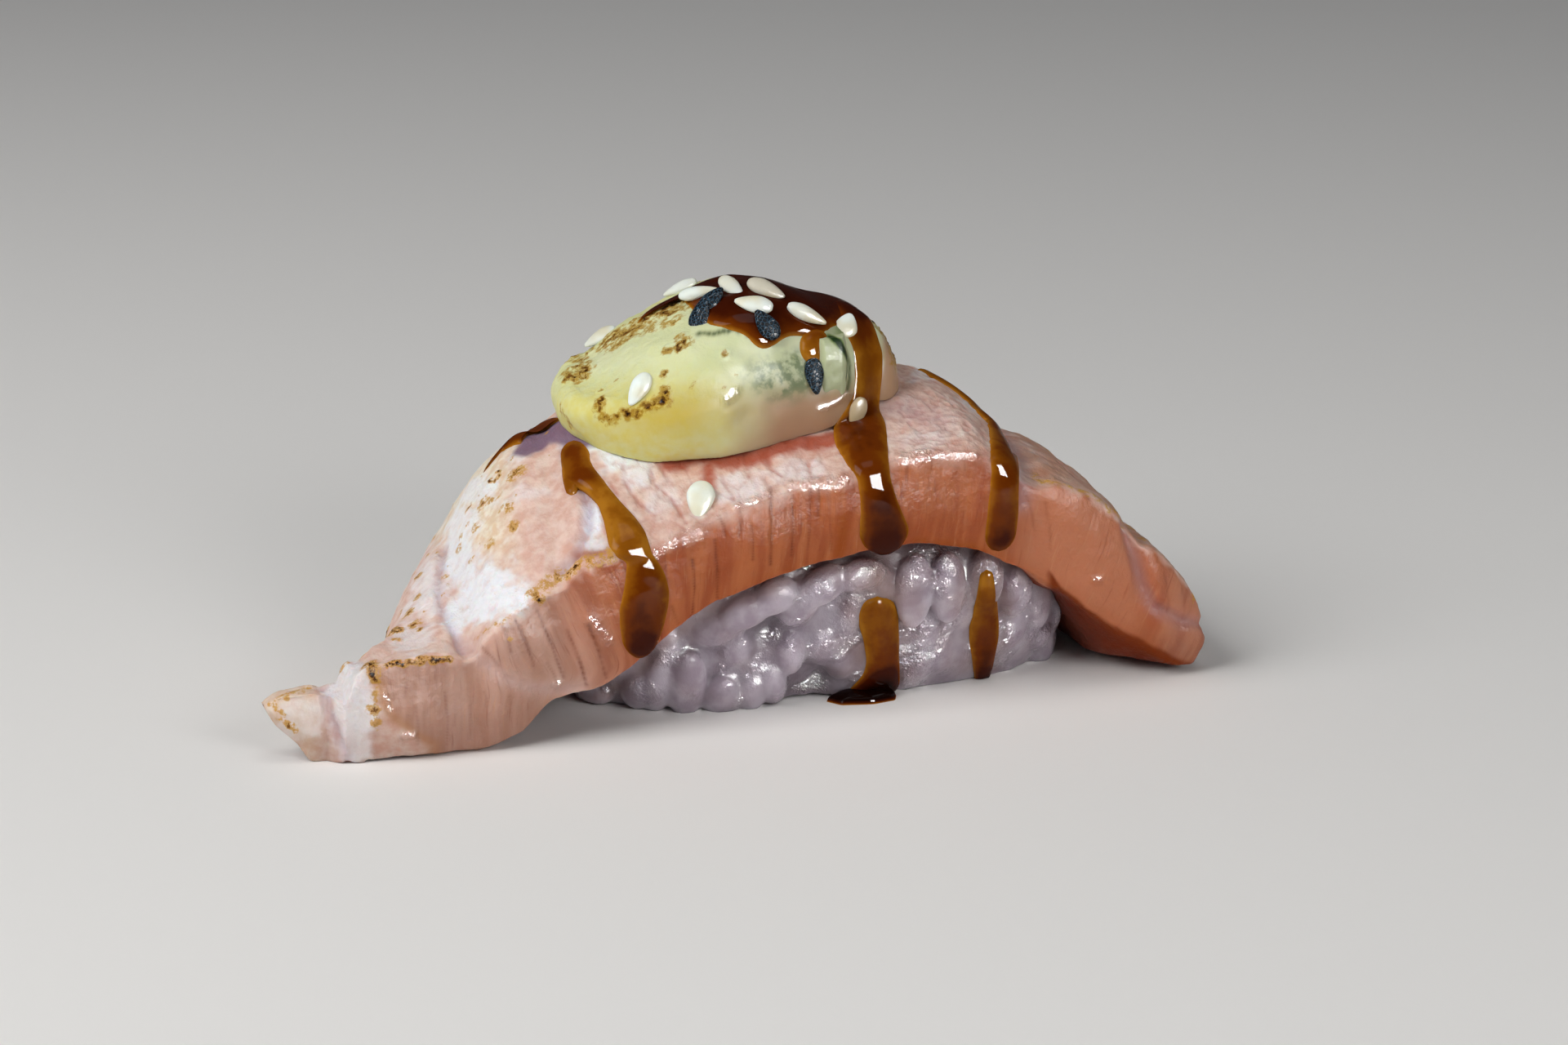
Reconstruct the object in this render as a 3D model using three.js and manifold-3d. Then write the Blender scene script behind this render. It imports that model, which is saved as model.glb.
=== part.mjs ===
// A piece of seared salmon nigiri: an oblong ball of pressed rice with a thick slice of salmon
// draped over it, a mound of torched cream round a piece of avocado, brown sauce and sesame.
// Millimetres, +Z up, +X along the slice. The origin is on the floor, below the middle.

import * as THREE from 'three';
import { mergeVertices } from 'three/addons/utils/BufferGeometryUtils.js';
import Module from 'manifold-3d';

const wasm = await Module();
wasm.setup();

// ---------------------------------------------------------------- driving dimensions

const GAP = 0.3;                  // clearance between pieces that touch
const SLIVER = 0.02;              // edges shorter than this are closed up when solids are joined
const SAME_POINT = 1e-4;          // corners nearer than this are one

const SLICE_HALF_LENGTH = 42.8;
const SLICE_HALF_WIDTH = 14.4;
const BACK_OVERHANG = 1.0;        // the slice reaches a little further behind than in front
const SLICE_THICKNESS = 8.4;      // square to the slice, where it lies on the rice
const SLICE_DEEPEST = 12.5;       // the most it measures straight down, where it is steep
const FULL_THICKNESS_FROM = 0.35; // how far behind the cut face, as a share of the slice's width
const SLICE_STATIONS = 48;
const SLICE_FACES = { front: 7, top: 11, back: 4, under: 7 };
const CUT_FACE_BULGE = 0.6;
const HEM_TUCK = 0.7;             // how far the lower edge of the cut face is tucked in
const HEM_TUCK_SHARE = 0.1;       // and at most this share of the slice's width
const BACK_HEM = 0.4;             // height of the blunt lower edge behind
const END_FADE = 3;               // the flesh is even over this length at each end
const CROWN_AT = 0.6;             // where the crown lies between the front and the back edge
const REAR_DROP = 4.6;            // how far the back edge lies below the crown
const REAR_DROP_SHARE = 0.38;     // and at most this share of the slice's whole height
const REAR_THICKNESS = 6.5;
// The hanging right end is thicker, over its whole width, and its tip stays off the floor.
const BELLY = { from: 24, to: 32, thicker: 2.8, deeper: 4 };
const TIP_LIFT = { from: 24, to: 30, height: 0.7 };
const TAIL_FROM = -38;            // left of here the underside follows the raised hem

// How the slice narrows towards its ends: its width there as a share, and how late it does.
const FRONT_TAPER = { power: 9, least: 0.86 };
const BACK_TAPER = { power: 3.2, least: 0.5 };
// The thin flake at the left tip stands back from the one beside it.
const TIP_FLAKE = { from: -36.6, over: 1.2, inset: 1.6 };

// The slice along its length: the upper and the lower edge of its front cut face, and its
// crown behind that face.
const SLICE_PROFILE = [
  { x: -42.8, ridge: 5.6, hem: 4.3, crown: 5.5 },
  { x: -40.4, ridge: 5.9, hem: 1.9, crown: 5.9 },
  { x: -38.8, ridge: 6.2, hem: 0.0, crown: 6.2 },
  { x: -36.6, ridge: 6.4, hem: 0.0, crown: 6.6 },
  { x: -35.4, ridge: 9.0, hem: 0.0, crown: 8.9 },
  { x: -29.6, ridge: 9.2, hem: 0.0, crown: 9.2 },
  { x: -26.0, ridge: 9.7, hem: 0.1, crown: 11.6 },
  { x: -21.5, ridge: 12.4, hem: 0.9, crown: 17.0 },
  { x: -18.0, ridge: 14.6, hem: 3.9, crown: 21.0 },
  { x: -15.0, ridge: 16.2, hem: 4.1, crown: 23.2 },
  { x: -11.6, ridge: 17.1, hem: 5.6, crown: 24.6 },
  { x: -7.4, ridge: 18.0, hem: 9.3, crown: 25.0 },
  { x: -1.6, ridge: 19.8, hem: 12.0, crown: 25.4 },
  { x: 5.4, ridge: 21.5, hem: 13.9, crown: 25.8 },
  { x: 14.2, ridge: 23.3, hem: 14.9, crown: 26.6 },
  { x: 19.4, ridge: 23.4, hem: 13.9, crown: 26.4 },
  { x: 25.0, ridge: 20.7, hem: 11.4, crown: 23.6 },
  { x: 28.2, ridge: 19.5, hem: 9.4, crown: 20.9 },
  { x: 31.0, ridge: 18.1, hem: 7.2, crown: 19.2 },
  { x: 33.6, ridge: 16.0, hem: 5.6, crown: 17.2 },
  { x: 36.0, ridge: 13.9, hem: 4.0, crown: 14.7 },
  { x: 40.6, ridge: 9.0, hem: 0.9, crown: 9.7 },
  { x: 42.8, ridge: 5.4, hem: 0.6, crown: 5.1 },
];

// Behind, the slice is cut off aslant at its left end: how far back it reaches there.
const LEFT_CUT = [
  { x: -42.8, back: -9.0 }, { x: -37.0, back: -8.6 }, { x: -34.5, back: -7.8 },
  { x: -31.6, back: -4.3 }, { x: -30.0, back: 0.0 }, { x: -28.4, back: 5.0 },
  { x: -26.0, back: 9.9 }, { x: -22.0, back: 14.5 }, { x: -18.0, back: 19.0 },
];

// Folds where one flake ends and the next begins: where each crosses the front and the back
// edge, how deep it is and how wide.
const FLAKE_FOLDS = [
  { front: -36.2, back: -34.0, depth: 0.9, width: 1.2 },
  { front: -25.8, back: -21.5, depth: 1.2, width: 1.5 },
  { front: -17.5, back: -12.5, depth: 0.9, width: 1.4 },
  { front: 25.5, back: 28.0, depth: 0.9, width: 1.4 },
  { front: 35.6, back: 38.6, depth: 1.0, width: 1.2 },
];
// The fold that runs down the cut face, between the flake on the floor and the next one.
const SIDE_FOLD = { left: -26, right: -16.5, leftZ: 9.0, rightZ: 5.4, depth: 1.1, width: 1.3 };
// Slow waves that make the flesh uneven: how high, and how they run along x, y and z.
const WAVES = [
  { height: 0.16, along: [0.41, 0, 0.5], start: 0 },
  { height: 0.1, along: [0.83, -0.9, 0], start: 1.7 },
  { height: 0.08, along: [0, 1.1, 0.8], start: 0 },
];

const RICE = {
  x: 9.2,
  halfLength: 21.6,
  halfWidth: 9.4,
  height: 17.2,
  widestAt: 0.42,                 // of its height
  footInset: 0.09,                // how much it narrows down to the floor
  domeInset: 0.92,                // how much the dome closes in at its very top
  domePower: 2.6,
  endInset: 0.5,                  // how much less its length shrinks than its width
  roundedFrom: 0.9,               // from this share of its width on, its ends are rounded too
  roundedPower: 0.3,
  rings: 10,
  ringCrowding: 0.8,
  sides: 30,
};
const CORNER = 2.8;               // 2 would make an oblong an ellipse, and more makes it squarer
const GRAIN = {
  length: 6.4, width: 2.8, sides: 5, pitchAlong: 4.5, pitchUp: 2.8,
  proud: 0.6, proudRange: 0.3,    // how far its middle stands outside the core
  lowest: 1.2, heightRange: 1.6,
  upright: 0.55,                  // the share that stands more or less upright
  smallest: 0.88, sizeRange: 0.2,
  clearance: [1.06, 1.2, 1.2],
};

const TOPPING = {
  x: 1.9, y: 1.4, z: 26.2, halfLength: 15.4, halfWidth: 9.8, rise: 9.8, below: 6, rows: 15, sides: 34,
  steepness: 0.62,                // below 1 its sides stand steeper than those of a dome
  lastRing: 0.98,                 // how near the first and the last ring are to its poles
};
// What the mound's weight has made of it. Places are measured along it from its middle.
const FRONT_LOBE = { at: -6, reach: 8, depth: 1.3 };
const FRONT_NOTCH = { at: 11.4, reach: 1.7, depth: 1.9 };
const LEFT_SLUMP = { from: 1, over: 15, depth: 6.7, power: 1.3 };
const CREST_DIP = { at: 8.6, reach: 4.6, depth: 1.4 };
const LUMPS = [
  { height: 0.2, along: [0.5, 0, 0.6] },
  { height: 0.15, along: [0.9, 0.7, 0] },
];
const AVOCADO = {
  x: 9.7, y: -1.0, z: 29.6, halfThickness: 1.5, halfDepth: 7.4, halfHeight: 4.2, sides: 18,
  lean: 0.12,                     // how far it turns to the right for each millimetre back
};
// Across its thickness, from -1 to 1, the avocado is rounded off at both faces.
const AVOCADO_RINGS = [[-1, 0.86], [-0.7, 1], [0.7, 1], [1, 0.86]];

// A seed's pointed half is slimmer, by this share, and it is sunk in by part of its thickness.
const SEED = {
  length: 3.3, width: 2.0, thickness: 1.2, sides: 6, slimmer: 0.55, proud: 0.2,
  backwards: 0.2,                 // how far its point turns away from the guest
};
const POD_SHOULDER = 0.28;        // where a rod's full girth ends, as a share of its length

// Sauce and sesame are placed as a guest sees them: a point (x, z) on an upright pane in
// front of the piece is carried along the line from the guest's eye until it meets the food.
const GUEST_EYE = new THREE.Vector3(-109.2, -357.3, 121.6);
const PANE_Y = -14.5;

const SAUCE = {
  height: 0.9, edge: 0.2, sunk: 0.7, across: 5, step: 1.8,
  narrow: 1.5, narrowShare: 0.6,  // a run narrower than this is lower, by this share
  towardsGuest: 0.6,              // how far it is pushed out along the line of sight
};

// ---------------------------------------------------------------- small helpers

const clamp = THREE.MathUtils.clamp;
const lerp = THREE.MathUtils.lerp;

function seededRandom(seed) {
  let state = seed >>> 0;
  return () => {
    state = (Math.imul(state, 1664525) + 1013904223) >>> 0;
    return state / 2 ** 32;
  };
}

// A bell of height 1 that falls off over about `reach` on both sides.
function bell(away, reach) {
  return Math.exp(-((away / reach) ** 2));
}

function waves(list, point) {
  return list.reduce((sum, { height, along, start = 0 }) => (
    sum + height * Math.sin(along[0] * point[0] + along[1] * point[1] + along[2] * point[2] + start)
  ), 0);
}

// A smooth curve through named rows that never overshoots them.
function smoothColumn(rows, key) {
  const slope = rows.slice(1).map((row, i) => (row[key] - rows[i][key]) / (row.x - rows[i].x));
  const tangent = rows.map((row, i) => {
    const before = slope[Math.max(i - 1, 0)];
    const after = slope[Math.min(i, slope.length - 1)];
    return before * after > 0 ? (2 * before * after) / (before + after) : 0;
  });
  return (x) => {
    let i = 0;
    while (i < rows.length - 2 && x > rows[i + 1].x) i += 1;
    const span = rows[i + 1].x - rows[i].x;
    const t = clamp((x - rows[i].x) / span, 0, 1);
    const rise = rows[i + 1][key] - rows[i][key];
    const bend = t * (1 - t) * span;
    return rows[i][key] + rise * t * t * (3 - 2 * t)
      + bend * (tangent[i] * (1 - t) - tangent[i + 1] * t);
  };
}

function toSolid(geometry) {
  const bare = geometry.clone();
  bare.deleteAttribute('normal');
  bare.deleteAttribute('uv');
  const merged = mergeVertices(bare, SAME_POINT);
  return new wasm.Manifold(new wasm.Mesh({
    numProp: 3,
    vertProperties: new Float32Array(merged.attributes.position.array),
    triVerts: new Uint32Array(merged.index.array),
    tolerance: SLIVER,
  }));
}

function toGeometry(solid) {
  const mesh = solid.getMesh();
  const geometry = new THREE.BufferGeometry();
  geometry.setAttribute('position', new THREE.BufferAttribute(mesh.vertProperties, 3));
  geometry.setIndex(new THREE.BufferAttribute(mesh.triVerts, 1));
  geometry.computeVertexNormals();
  return geometry;
}

// Rings of points skinned into one closed solid, with a fan over each end ring.
function ringSolid(rings, tips = []) {
  const around = rings[0].length;
  const points = rings.flat();
  const faces = [];
  for (let r = 0; r < rings.length - 1; r += 1) {
    for (let i = 0; i < around; i += 1) {
      const a = r * around + i;
      const b = r * around + ((i + 1) % around);
      faces.push(a, b, a + around, b, b + around, a + around);
    }
  }
  for (const [ring, turn] of [[0, 1], [rings.length - 1, 0]]) {
    const middle = points.length;
    const centre = new THREE.Vector3();
    rings[ring].forEach((point) => centre.add(point));
    points.push(tips[turn] ?? centre.divideScalar(around));
    for (let i = 0; i < around; i += 1) {
      const a = ring * around + i;
      const b = ring * around + ((i + 1) % around);
      faces.push(...(turn ? [middle, b, a] : [middle, a, b]));
    }
  }
  const geometry = new THREE.BufferGeometry().setFromPoints(points);
  geometry.setIndex(faces);
  const solid = toSolid(geometry);
  if (solid.volume() > 0) return solid;
  geometry.setIndex(faces.reverse());
  return toSolid(geometry);
}

function largestPiece(solid) {
  const pieces = solid.decompose();
  return pieces.reduce((best, piece) => (piece.volume() > best.volume() ? piece : best));
}

function aboveFloor(solid) {
  const size = 300;
  const below = toSolid(new THREE.BoxGeometry(size, size, size).translate(0, 0, -size / 2));
  return solid.subtract(below);
}

// ---------------------------------------------------------------- the slice of salmon

const ridgeAt = smoothColumn(SLICE_PROFILE, 'ridge');
const hemAt = smoothColumn(SLICE_PROFILE, 'hem');
const crownAt = smoothColumn(SLICE_PROFILE, 'crown');
const leftCutAt = smoothColumn(LEFT_CUT, 'back');
const leftCutEnd = LEFT_CUT[LEFT_CUT.length - 1].x;

function sliceEdge(x, { power, least }) {
  const along = Math.abs(x) / SLICE_HALF_LENGTH;
  return SLICE_HALF_WIDTH * (1 - (1 - least) * along ** power);
}

// Where the slice begins in front and ends behind. It narrows a little towards its ends, more
// behind than in front, and its left end is cut aslant, as in a slice from a tapering fillet.
function sliceSpan(x) {
  const inset = TIP_FLAKE.inset * clamp((TIP_FLAKE.from - x) / TIP_FLAKE.over, 0, 1);
  const back = sliceEdge(x, BACK_TAPER) + BACK_OVERHANG;
  return {
    front: -sliceEdge(x, FRONT_TAPER) + inset,
    back: x < leftCutEnd ? Math.min(back, leftCutAt(x)) : back,
  };
}

// The lowest that the slice reaches at x.
function footAt(x) {
  const lift = TIP_LIFT.height * clamp((x - TIP_LIFT.from) / (TIP_LIFT.to - TIP_LIFT.from), 0, 1);
  return x < TAIL_FROM ? hemAt(x) : lift;
}

function topHeight(x, y) {
  const { front, back } = sliceSpan(x);
  const crownY = lerp(front, back, CROWN_AT);
  const ridge = ridgeAt(x);
  const crown = crownAt(x);
  if (y < crownY) {
    const t = clamp((y - front) / (crownY - front), 0, 1);
    return lerp(ridge, crown, Math.sin((t * Math.PI) / 2));
  }
  const t = clamp((y - crownY) / (back - crownY), 0, 1);
  const drop = Math.min(REAR_DROP, (crown - footAt(x)) * REAR_DROP_SHARE);
  return crown - drop * (1 - Math.cos((t * Math.PI) / 2));
}

function underHeight(x, y) {
  const { front, back } = sliceSpan(x);
  const t = (y - front) / (back - front);
  const slope = (crownAt(x + 1) - crownAt(x - 1)) / 2;
  const belly = clamp((x - BELLY.from) / (BELLY.to - BELLY.from), 0, 1);
  const square = SLICE_THICKNESS + BELLY.thicker * belly;
  const middle = Math.min(square * Math.hypot(1, slope), SLICE_DEEPEST + BELLY.deeper * belly);
  const atFront = ridgeAt(x) - hemAt(x);
  const atBack = lerp(REAR_THICKNESS, middle, belly);
  const past = (t - FULL_THICKNESS_FROM) / (1 - FULL_THICKNESS_FROM);
  const thick = past < 0
    ? lerp(atFront, middle, Math.sin((t / FULL_THICKNESS_FROM) * (Math.PI / 2)))
    : lerp(middle, atBack, past ** 2);
  return Math.max(topHeight(x, y) - thick, footAt(x));
}

function foldDepth(x, y) {
  const { front, back } = sliceSpan(x);
  const across = clamp((y - front) / (back - front), 0, 1);
  return FLAKE_FOLDS.reduce((sum, fold) => (
    sum + fold.depth * bell(x - lerp(fold.front, fold.back, across), fold.width)
  ), 0);
}

function sideFoldDepth(x, z) {
  const t = clamp((x - SIDE_FOLD.left) / (SIDE_FOLD.right - SIDE_FOLD.left), 0, 1);
  const beyond = Math.max(SIDE_FOLD.left - x, x - SIDE_FOLD.right, 0);
  const away = Math.hypot(z - lerp(SIDE_FOLD.leftZ, SIDE_FOLD.rightZ, t), beyond);
  return SIDE_FOLD.depth * bell(away, SIDE_FOLD.width);
}

// One closed outline of the slice at x, from the front hem up, over and back underneath.
function sliceOutline(x, grow) {
  const { front, back } = sliceSpan(x);
  const outline = [];
  const endFade = clamp((SLICE_HALF_LENGTH - Math.abs(x)) / END_FADE, 0, 1);
  const tuck = Math.min(HEM_TUCK, (back - front) * HEM_TUCK_SHARE);
  const push = (y, z) => outline.push(new THREE.Vector3(x, y, z));
  for (let i = 0; i < SLICE_FACES.front; i += 1) {
    const t = i / SLICE_FACES.front;
    const z = lerp(hemAt(x), ridgeAt(x) - foldDepth(x, front), t);
    const swell = CUT_FACE_BULGE * Math.sin(Math.PI * t) - tuck * (1 - t) ** 3;
    const inward = (sideFoldDepth(x, z) + foldDepth(x, front) / 2) * Math.sin(Math.PI * t);
    push(front - swell - waves(WAVES, [x, 0, z]) * endFade + inward - grow, z);
  }
  for (let i = 0; i < SLICE_FACES.top; i += 1) {
    const y = lerp(front, back, i / SLICE_FACES.top);
    const uneven = waves(WAVES, [x, y, 0]) * endFade;
    push(y - (i === 0 ? grow : 0), topHeight(x, y) - foldDepth(x, y) + uneven + grow);
  }
  for (let i = 0; i < SLICE_FACES.back; i += 1) {
    const t = i / SLICE_FACES.back;
    const z = lerp(topHeight(x, back) + grow, underHeight(x, back) + BACK_HEM, t);
    push(back + CUT_FACE_BULGE * Math.sin(Math.PI * t) + grow, z);
  }
  for (let i = 0; i < SLICE_FACES.under; i += 1) {
    const y = lerp(back, front, i / SLICE_FACES.under);
    push(y, underHeight(x, y) + (i === 0 ? BACK_HEM : 0));
  }
  return outline;
}

function sliceBody(grow = 0) {
  const rings = [];
  for (let i = 0; i <= SLICE_STATIONS; i += 1) {
    const x = lerp(-SLICE_HALF_LENGTH, SLICE_HALF_LENGTH, i / SLICE_STATIONS);
    rings.push(sliceOutline(x, grow));
  }
  return ringSolid(rings);
}

// ---------------------------------------------------------------- the ball of rice

// The plan outline is a rounded oblong. It is widest part of the way up and domed on top.
function riceShrink(height) {
  const t = height / RICE.height;
  if (t < RICE.widestAt) return 1 - RICE.footInset * (1 - t / RICE.widestAt) ** 2;
  const up = (t - RICE.widestAt) / (1 - RICE.widestAt);
  return Math.sqrt(1 - RICE.domeInset * up ** RICE.domePower);
}

function oblong(angle, halfLength, halfWidth) {
  const c = Math.cos(angle);
  const s = Math.sin(angle);
  const reach = (Math.abs(c) ** CORNER + Math.abs(s) ** CORNER) ** (-1 / CORNER);
  return new THREE.Vector2(halfLength * reach * c, halfWidth * reach * s);
}

function ricePoint(angle, height, grow = 0) {
  const shrink = riceShrink(height);
  const ends = Math.min(1, (shrink / RICE.roundedFrom) ** RICE.roundedPower);
  const halfLength = RICE.halfLength * lerp(1, shrink, RICE.endInset) * ends;
  const flat = oblong(angle, halfLength + grow, RICE.halfWidth * shrink + grow);
  return new THREE.Vector3(RICE.x + flat.x, flat.y, height);
}

function riceCore(grow = 0) {
  const rings = [];
  for (let r = 0; r <= RICE.rings; r += 1) {
    const t = (r / RICE.rings) ** RICE.ringCrowding;
    const ring = [];
    for (let i = 0; i < RICE.sides; i += 1) {
      const point = ricePoint((i / RICE.sides) * 2 * Math.PI, t * RICE.height, grow);
      point.z += r === RICE.rings ? grow : 0;
      ring.push(point);
    }
    rings.push(ring);
  }
  return ringSolid(rings);
}

// A short rod with pointed ends along X: a grain of rice or, with one end slimmer, a seed.
function pod(length, width, thickness, sides, slimmer = 1) {
  const rings = [[-POD_SHOULDER, 1], [POD_SHOULDER, slimmer]].map(([along, size]) => (
    Array.from({ length: sides }, (_, i) => {
      const angle = (i / sides) * 2 * Math.PI;
      const y = (Math.cos(angle) * width * size) / 2;
      const z = (Math.sin(angle) * thickness * size) / 2;
      return new THREE.Vector3(along * length, y, z);
    })
  ));
  const tip = (end) => new THREE.Vector3((end * length) / 2, 0, 0);
  return ringSolid(rings, [tip(1), tip(-1)]);
}

// A pod laid on a surface: its length as near `along` as the surface allows, `size` times
// as large.
function laid(solid, position, normal, along, size = [1, 1, 1]) {
  const x = along.clone().addScaledVector(normal, -along.dot(normal)).normalize();
  const y = new THREE.Vector3().crossVectors(normal, x);
  const matrix = new THREE.Matrix4().makeBasis(x, y, normal).setPosition(position);
  return solid.scale(size).transform(matrix.elements);
}

// A number from -0.5 to 0.5.
function spread(random) {
  return random() - 0.5;
}

// Where the grain at `angle` and about `height` lies: its middle, the way out of the ball and
// the way the grain points.
function grainPlace(angle, height, random) {
  const step = 0.1;
  const h = clamp(height + spread(random) * GRAIN.heightRange, step, RICE.height - 5 * step);
  const here = ricePoint(angle, h);
  const beside = ricePoint(angle + step / 5, h).sub(here).normalize();
  const up = ricePoint(angle, h + step).sub(here).normalize();
  const outward = new THREE.Vector3().crossVectors(beside, up).normalize();
  const turn = random() < GRAIN.upright ? Math.PI / 2 + spread(random) : random() * Math.PI;
  const along = beside.multiplyScalar(Math.cos(turn)).addScaledVector(up, Math.sin(turn));
  along.addScaledVector(outward, spread(random) / 2).normalize();
  here.addScaledVector(outward, GRAIN.proud + GRAIN.proudRange * random());
  return { here, outward, along };
}

// Grains lie side by side over the core, each turned its own way. One that would meet the
// salmon is left out.
function riceGrains(salmon) {
  const random = seededRandom(41);
  const grain = pod(GRAIN.length, GRAIN.width, GRAIN.width, GRAIN.sides);
  const girth = Math.PI * (RICE.halfLength + RICE.halfWidth);
  const grains = [];
  for (let row = 0; GRAIN.lowest + row * GRAIN.pitchUp < RICE.height - GRAIN.pitchUp; row += 1) {
    const height = GRAIN.lowest + row * GRAIN.pitchUp;
    const count = Math.round((girth * riceShrink(height)) / GRAIN.pitchAlong);
    for (let i = 0; i < count; i += 1) {
      const angle = ((i + (row % 2) / 2 + random() / 2) / count) * 2 * Math.PI;
      const { here, outward, along } = grainPlace(angle, height, random);
      const size = GRAIN.smallest + GRAIN.sizeRange * random();
      const roomy = laid(grain, here, outward, along, GRAIN.clearance.map((share) => share * size));
      if (roomy.intersect(salmon).volume() > 0) continue;
      grains.push(laid(grain, here, outward, along, [size, size, size]));
    }
  }
  return grains;
}

// ---------------------------------------------------------------- topping and avocado

// A point on the mound of torched cream: `tilt` runs from its foot to its top and `angle`
// round it. It is lower to the left, with a lobe that hangs over the front and a smaller one at
// the right end.
function moundPoint(tilt, angle) {
  const level = Math.cos(tilt) ** TOPPING.steepness;
  const flat = oblong(angle, TOPPING.halfLength * level, TOPPING.halfWidth * level);
  const facing = clamp(-Math.sin(angle), 0, 1);
  const lobe = FRONT_LOBE.depth * bell(flat.x - FRONT_LOBE.at, FRONT_LOBE.reach);
  const notch = FRONT_NOTCH.depth * bell(flat.x - FRONT_NOTCH.at, FRONT_NOTCH.reach);
  const height = Math.sin(tilt) * (tilt > 0 ? TOPPING.rise : TOPPING.below);
  const leftSlump = LEFT_SLUMP.depth
    * clamp((LEFT_SLUMP.from - flat.x) / LEFT_SLUMP.over, 0, 1) ** LEFT_SLUMP.power;
  const crestDip = CREST_DIP.depth * bell(flat.x - CREST_DIP.at, CREST_DIP.reach);
  const sag = (leftSlump + crestDip) * Math.sin(Math.max(tilt, 0));
  return new THREE.Vector3(
    TOPPING.x + flat.x,
    TOPPING.y + flat.y - (lobe - notch) * facing * level,
    TOPPING.z + height - sag + waves(LUMPS, [flat.x, flat.y, height]) * level,
  );
}

function toppingBody() {
  const rings = [];
  for (let r = 0; r <= TOPPING.rows; r += 1) {
    const tilt = lerp(-TOPPING.lastRing, TOPPING.lastRing, r / TOPPING.rows) * (Math.PI / 2);
    const ring = [];
    for (let i = 0; i < TOPPING.sides; i += 1) {
      ring.push(moundPoint(tilt, (i / TOPPING.sides) * 2 * Math.PI));
    }
    rings.push(ring);
  }
  return ringSolid(rings);
}

// A slice of avocado standing on edge in the cream: a rounded slab.
function avocadoBody(grow = 0) {
  const rings = [];
  for (const [across, size] of AVOCADO_RINGS) {
    const ring = [];
    for (let i = 0; i < AVOCADO.sides; i += 1) {
      const angle = (i / AVOCADO.sides) * 2 * Math.PI;
      const flat = oblong(angle, AVOCADO.halfDepth * size + grow, AVOCADO.halfHeight * size + grow);
      ring.push(new THREE.Vector3(
        AVOCADO.x + across * (AVOCADO.halfThickness + grow) + AVOCADO.lean * flat.x,
        AVOCADO.y + flat.x,
        AVOCADO.z + flat.y,
      ));
    }
    rings.push(ring);
  }
  return ringSolid(rings);
}

// ---------------------------------------------------------------- sauce and sesame

const caster = new THREE.Raycaster();

// Where the guest's line of sight through the pane at (x, z) meets the food.
function seenAt(target, x, z) {
  const way = new THREE.Vector3(x, PANE_Y, z).sub(GUEST_EYE).normalize();
  caster.set(GUEST_EYE, way);
  const hit = caster.intersectObject(target, false)[0];
  return hit ? { point: hit.point, normal: hit.face.normal.clone(), way } : null;
}

function castTarget(solid) {
  return new THREE.Mesh(toGeometry(solid), new THREE.MeshBasicMaterial());
}

// A run of thick sauce: `route` holds pane points with the width of the run at each.
function sauceRun(target, route, sunk = SAUCE.sunk) {
  const line = new THREE.CatmullRomCurve3(route.map(({ x, z }) => new THREE.Vector3(x, 0, z)));
  const steps = Math.round(line.getLength() / SAUCE.step);
  const rings = [];
  for (let s = 0; s <= steps; s += 1) {
    const t = s / steps;
    const at = line.getPoint(t);
    const along = line.getTangent(t);
    const place = t * (route.length - 1);
    const from = Math.min(Math.floor(place), route.length - 2);
    const width = lerp(route[from].width, route[from + 1].width, place - from);
    const height = SAUCE.height * (width > SAUCE.narrow ? 1 : SAUCE.narrowShare);
    const upper = [];
    const lower = [];
    for (let i = 0; i < SAUCE.across; i += 1) {
      const side = (2 * i) / (SAUCE.across - 1) - 1;
      const half = (side * width) / 2;
      const hit = seenAt(target, at.x - along.z * half, at.z + along.x * half);
      if (!hit) continue;
      const thick = SAUCE.edge + height * Math.sqrt(1 - side * side);
      const out = hit.normal.addScaledVector(hit.way, -SAUCE.towardsGuest).normalize();
      upper.push(hit.point.clone().addScaledVector(out, thick));
      lower.unshift(hit.point.clone().addScaledVector(out, -sunk));
    }
    if (upper.length === SAUCE.across) rings.push([...upper, ...lower]);
  }
  return ringSolid(rings);
}

// `lean` turns the seed in the plane of the food, in degrees from the horizontal.
function seedOn(target, { x, z, lean }) {
  const hit = seenAt(target, x, z);
  const turn = THREE.MathUtils.degToRad(lean);
  const along = new THREE.Vector3(Math.cos(turn), SEED.backwards, Math.sin(turn));
  const place = hit.point.addScaledVector(hit.normal, SEED.thickness * SEED.proud);
  const seed = pod(SEED.length, SEED.width, SEED.thickness, SEED.sides, SEED.slimmer);
  return laid(seed, place, hit.normal, along);
}

const SALMON_SAUCE = [
  [
    { x: -16.4, z: 26.4, width: 1.6 }, { x: -16.6, z: 23.9, width: 1.9 },
    { x: -14.9, z: 21.8, width: 1.9 }, { x: -13.0, z: 19.2, width: 2.4 },
    { x: -11.1, z: 15.8, width: 3.0 }, { x: -10.1, z: 12.4, width: 3.3 },
    { x: -10.1, z: 9.5, width: 2.6 }, { x: -10.7, z: 8.0, width: 1.4 },
  ],
  [
    { x: 9.5, z: 24.6, width: 4.0 }, { x: 10.4, z: 21.2, width: 4.4 },
    { x: 10.8, z: 18.2, width: 4.5 }, { x: 11.4, z: 15.6, width: 3.6 },
  ],
  [
    { x: 18.7, z: 27.4, width: 1.2 }, { x: 19.7, z: 26.3, width: 1.6 },
    { x: 21.3, z: 23.6, width: 2.0 }, { x: 22.6, z: 20.2, width: 2.2 },
    { x: 22.9, z: 17.2, width: 2.5 }, { x: 22.4, z: 14.6, width: 1.8 },
  ],
];
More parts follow.
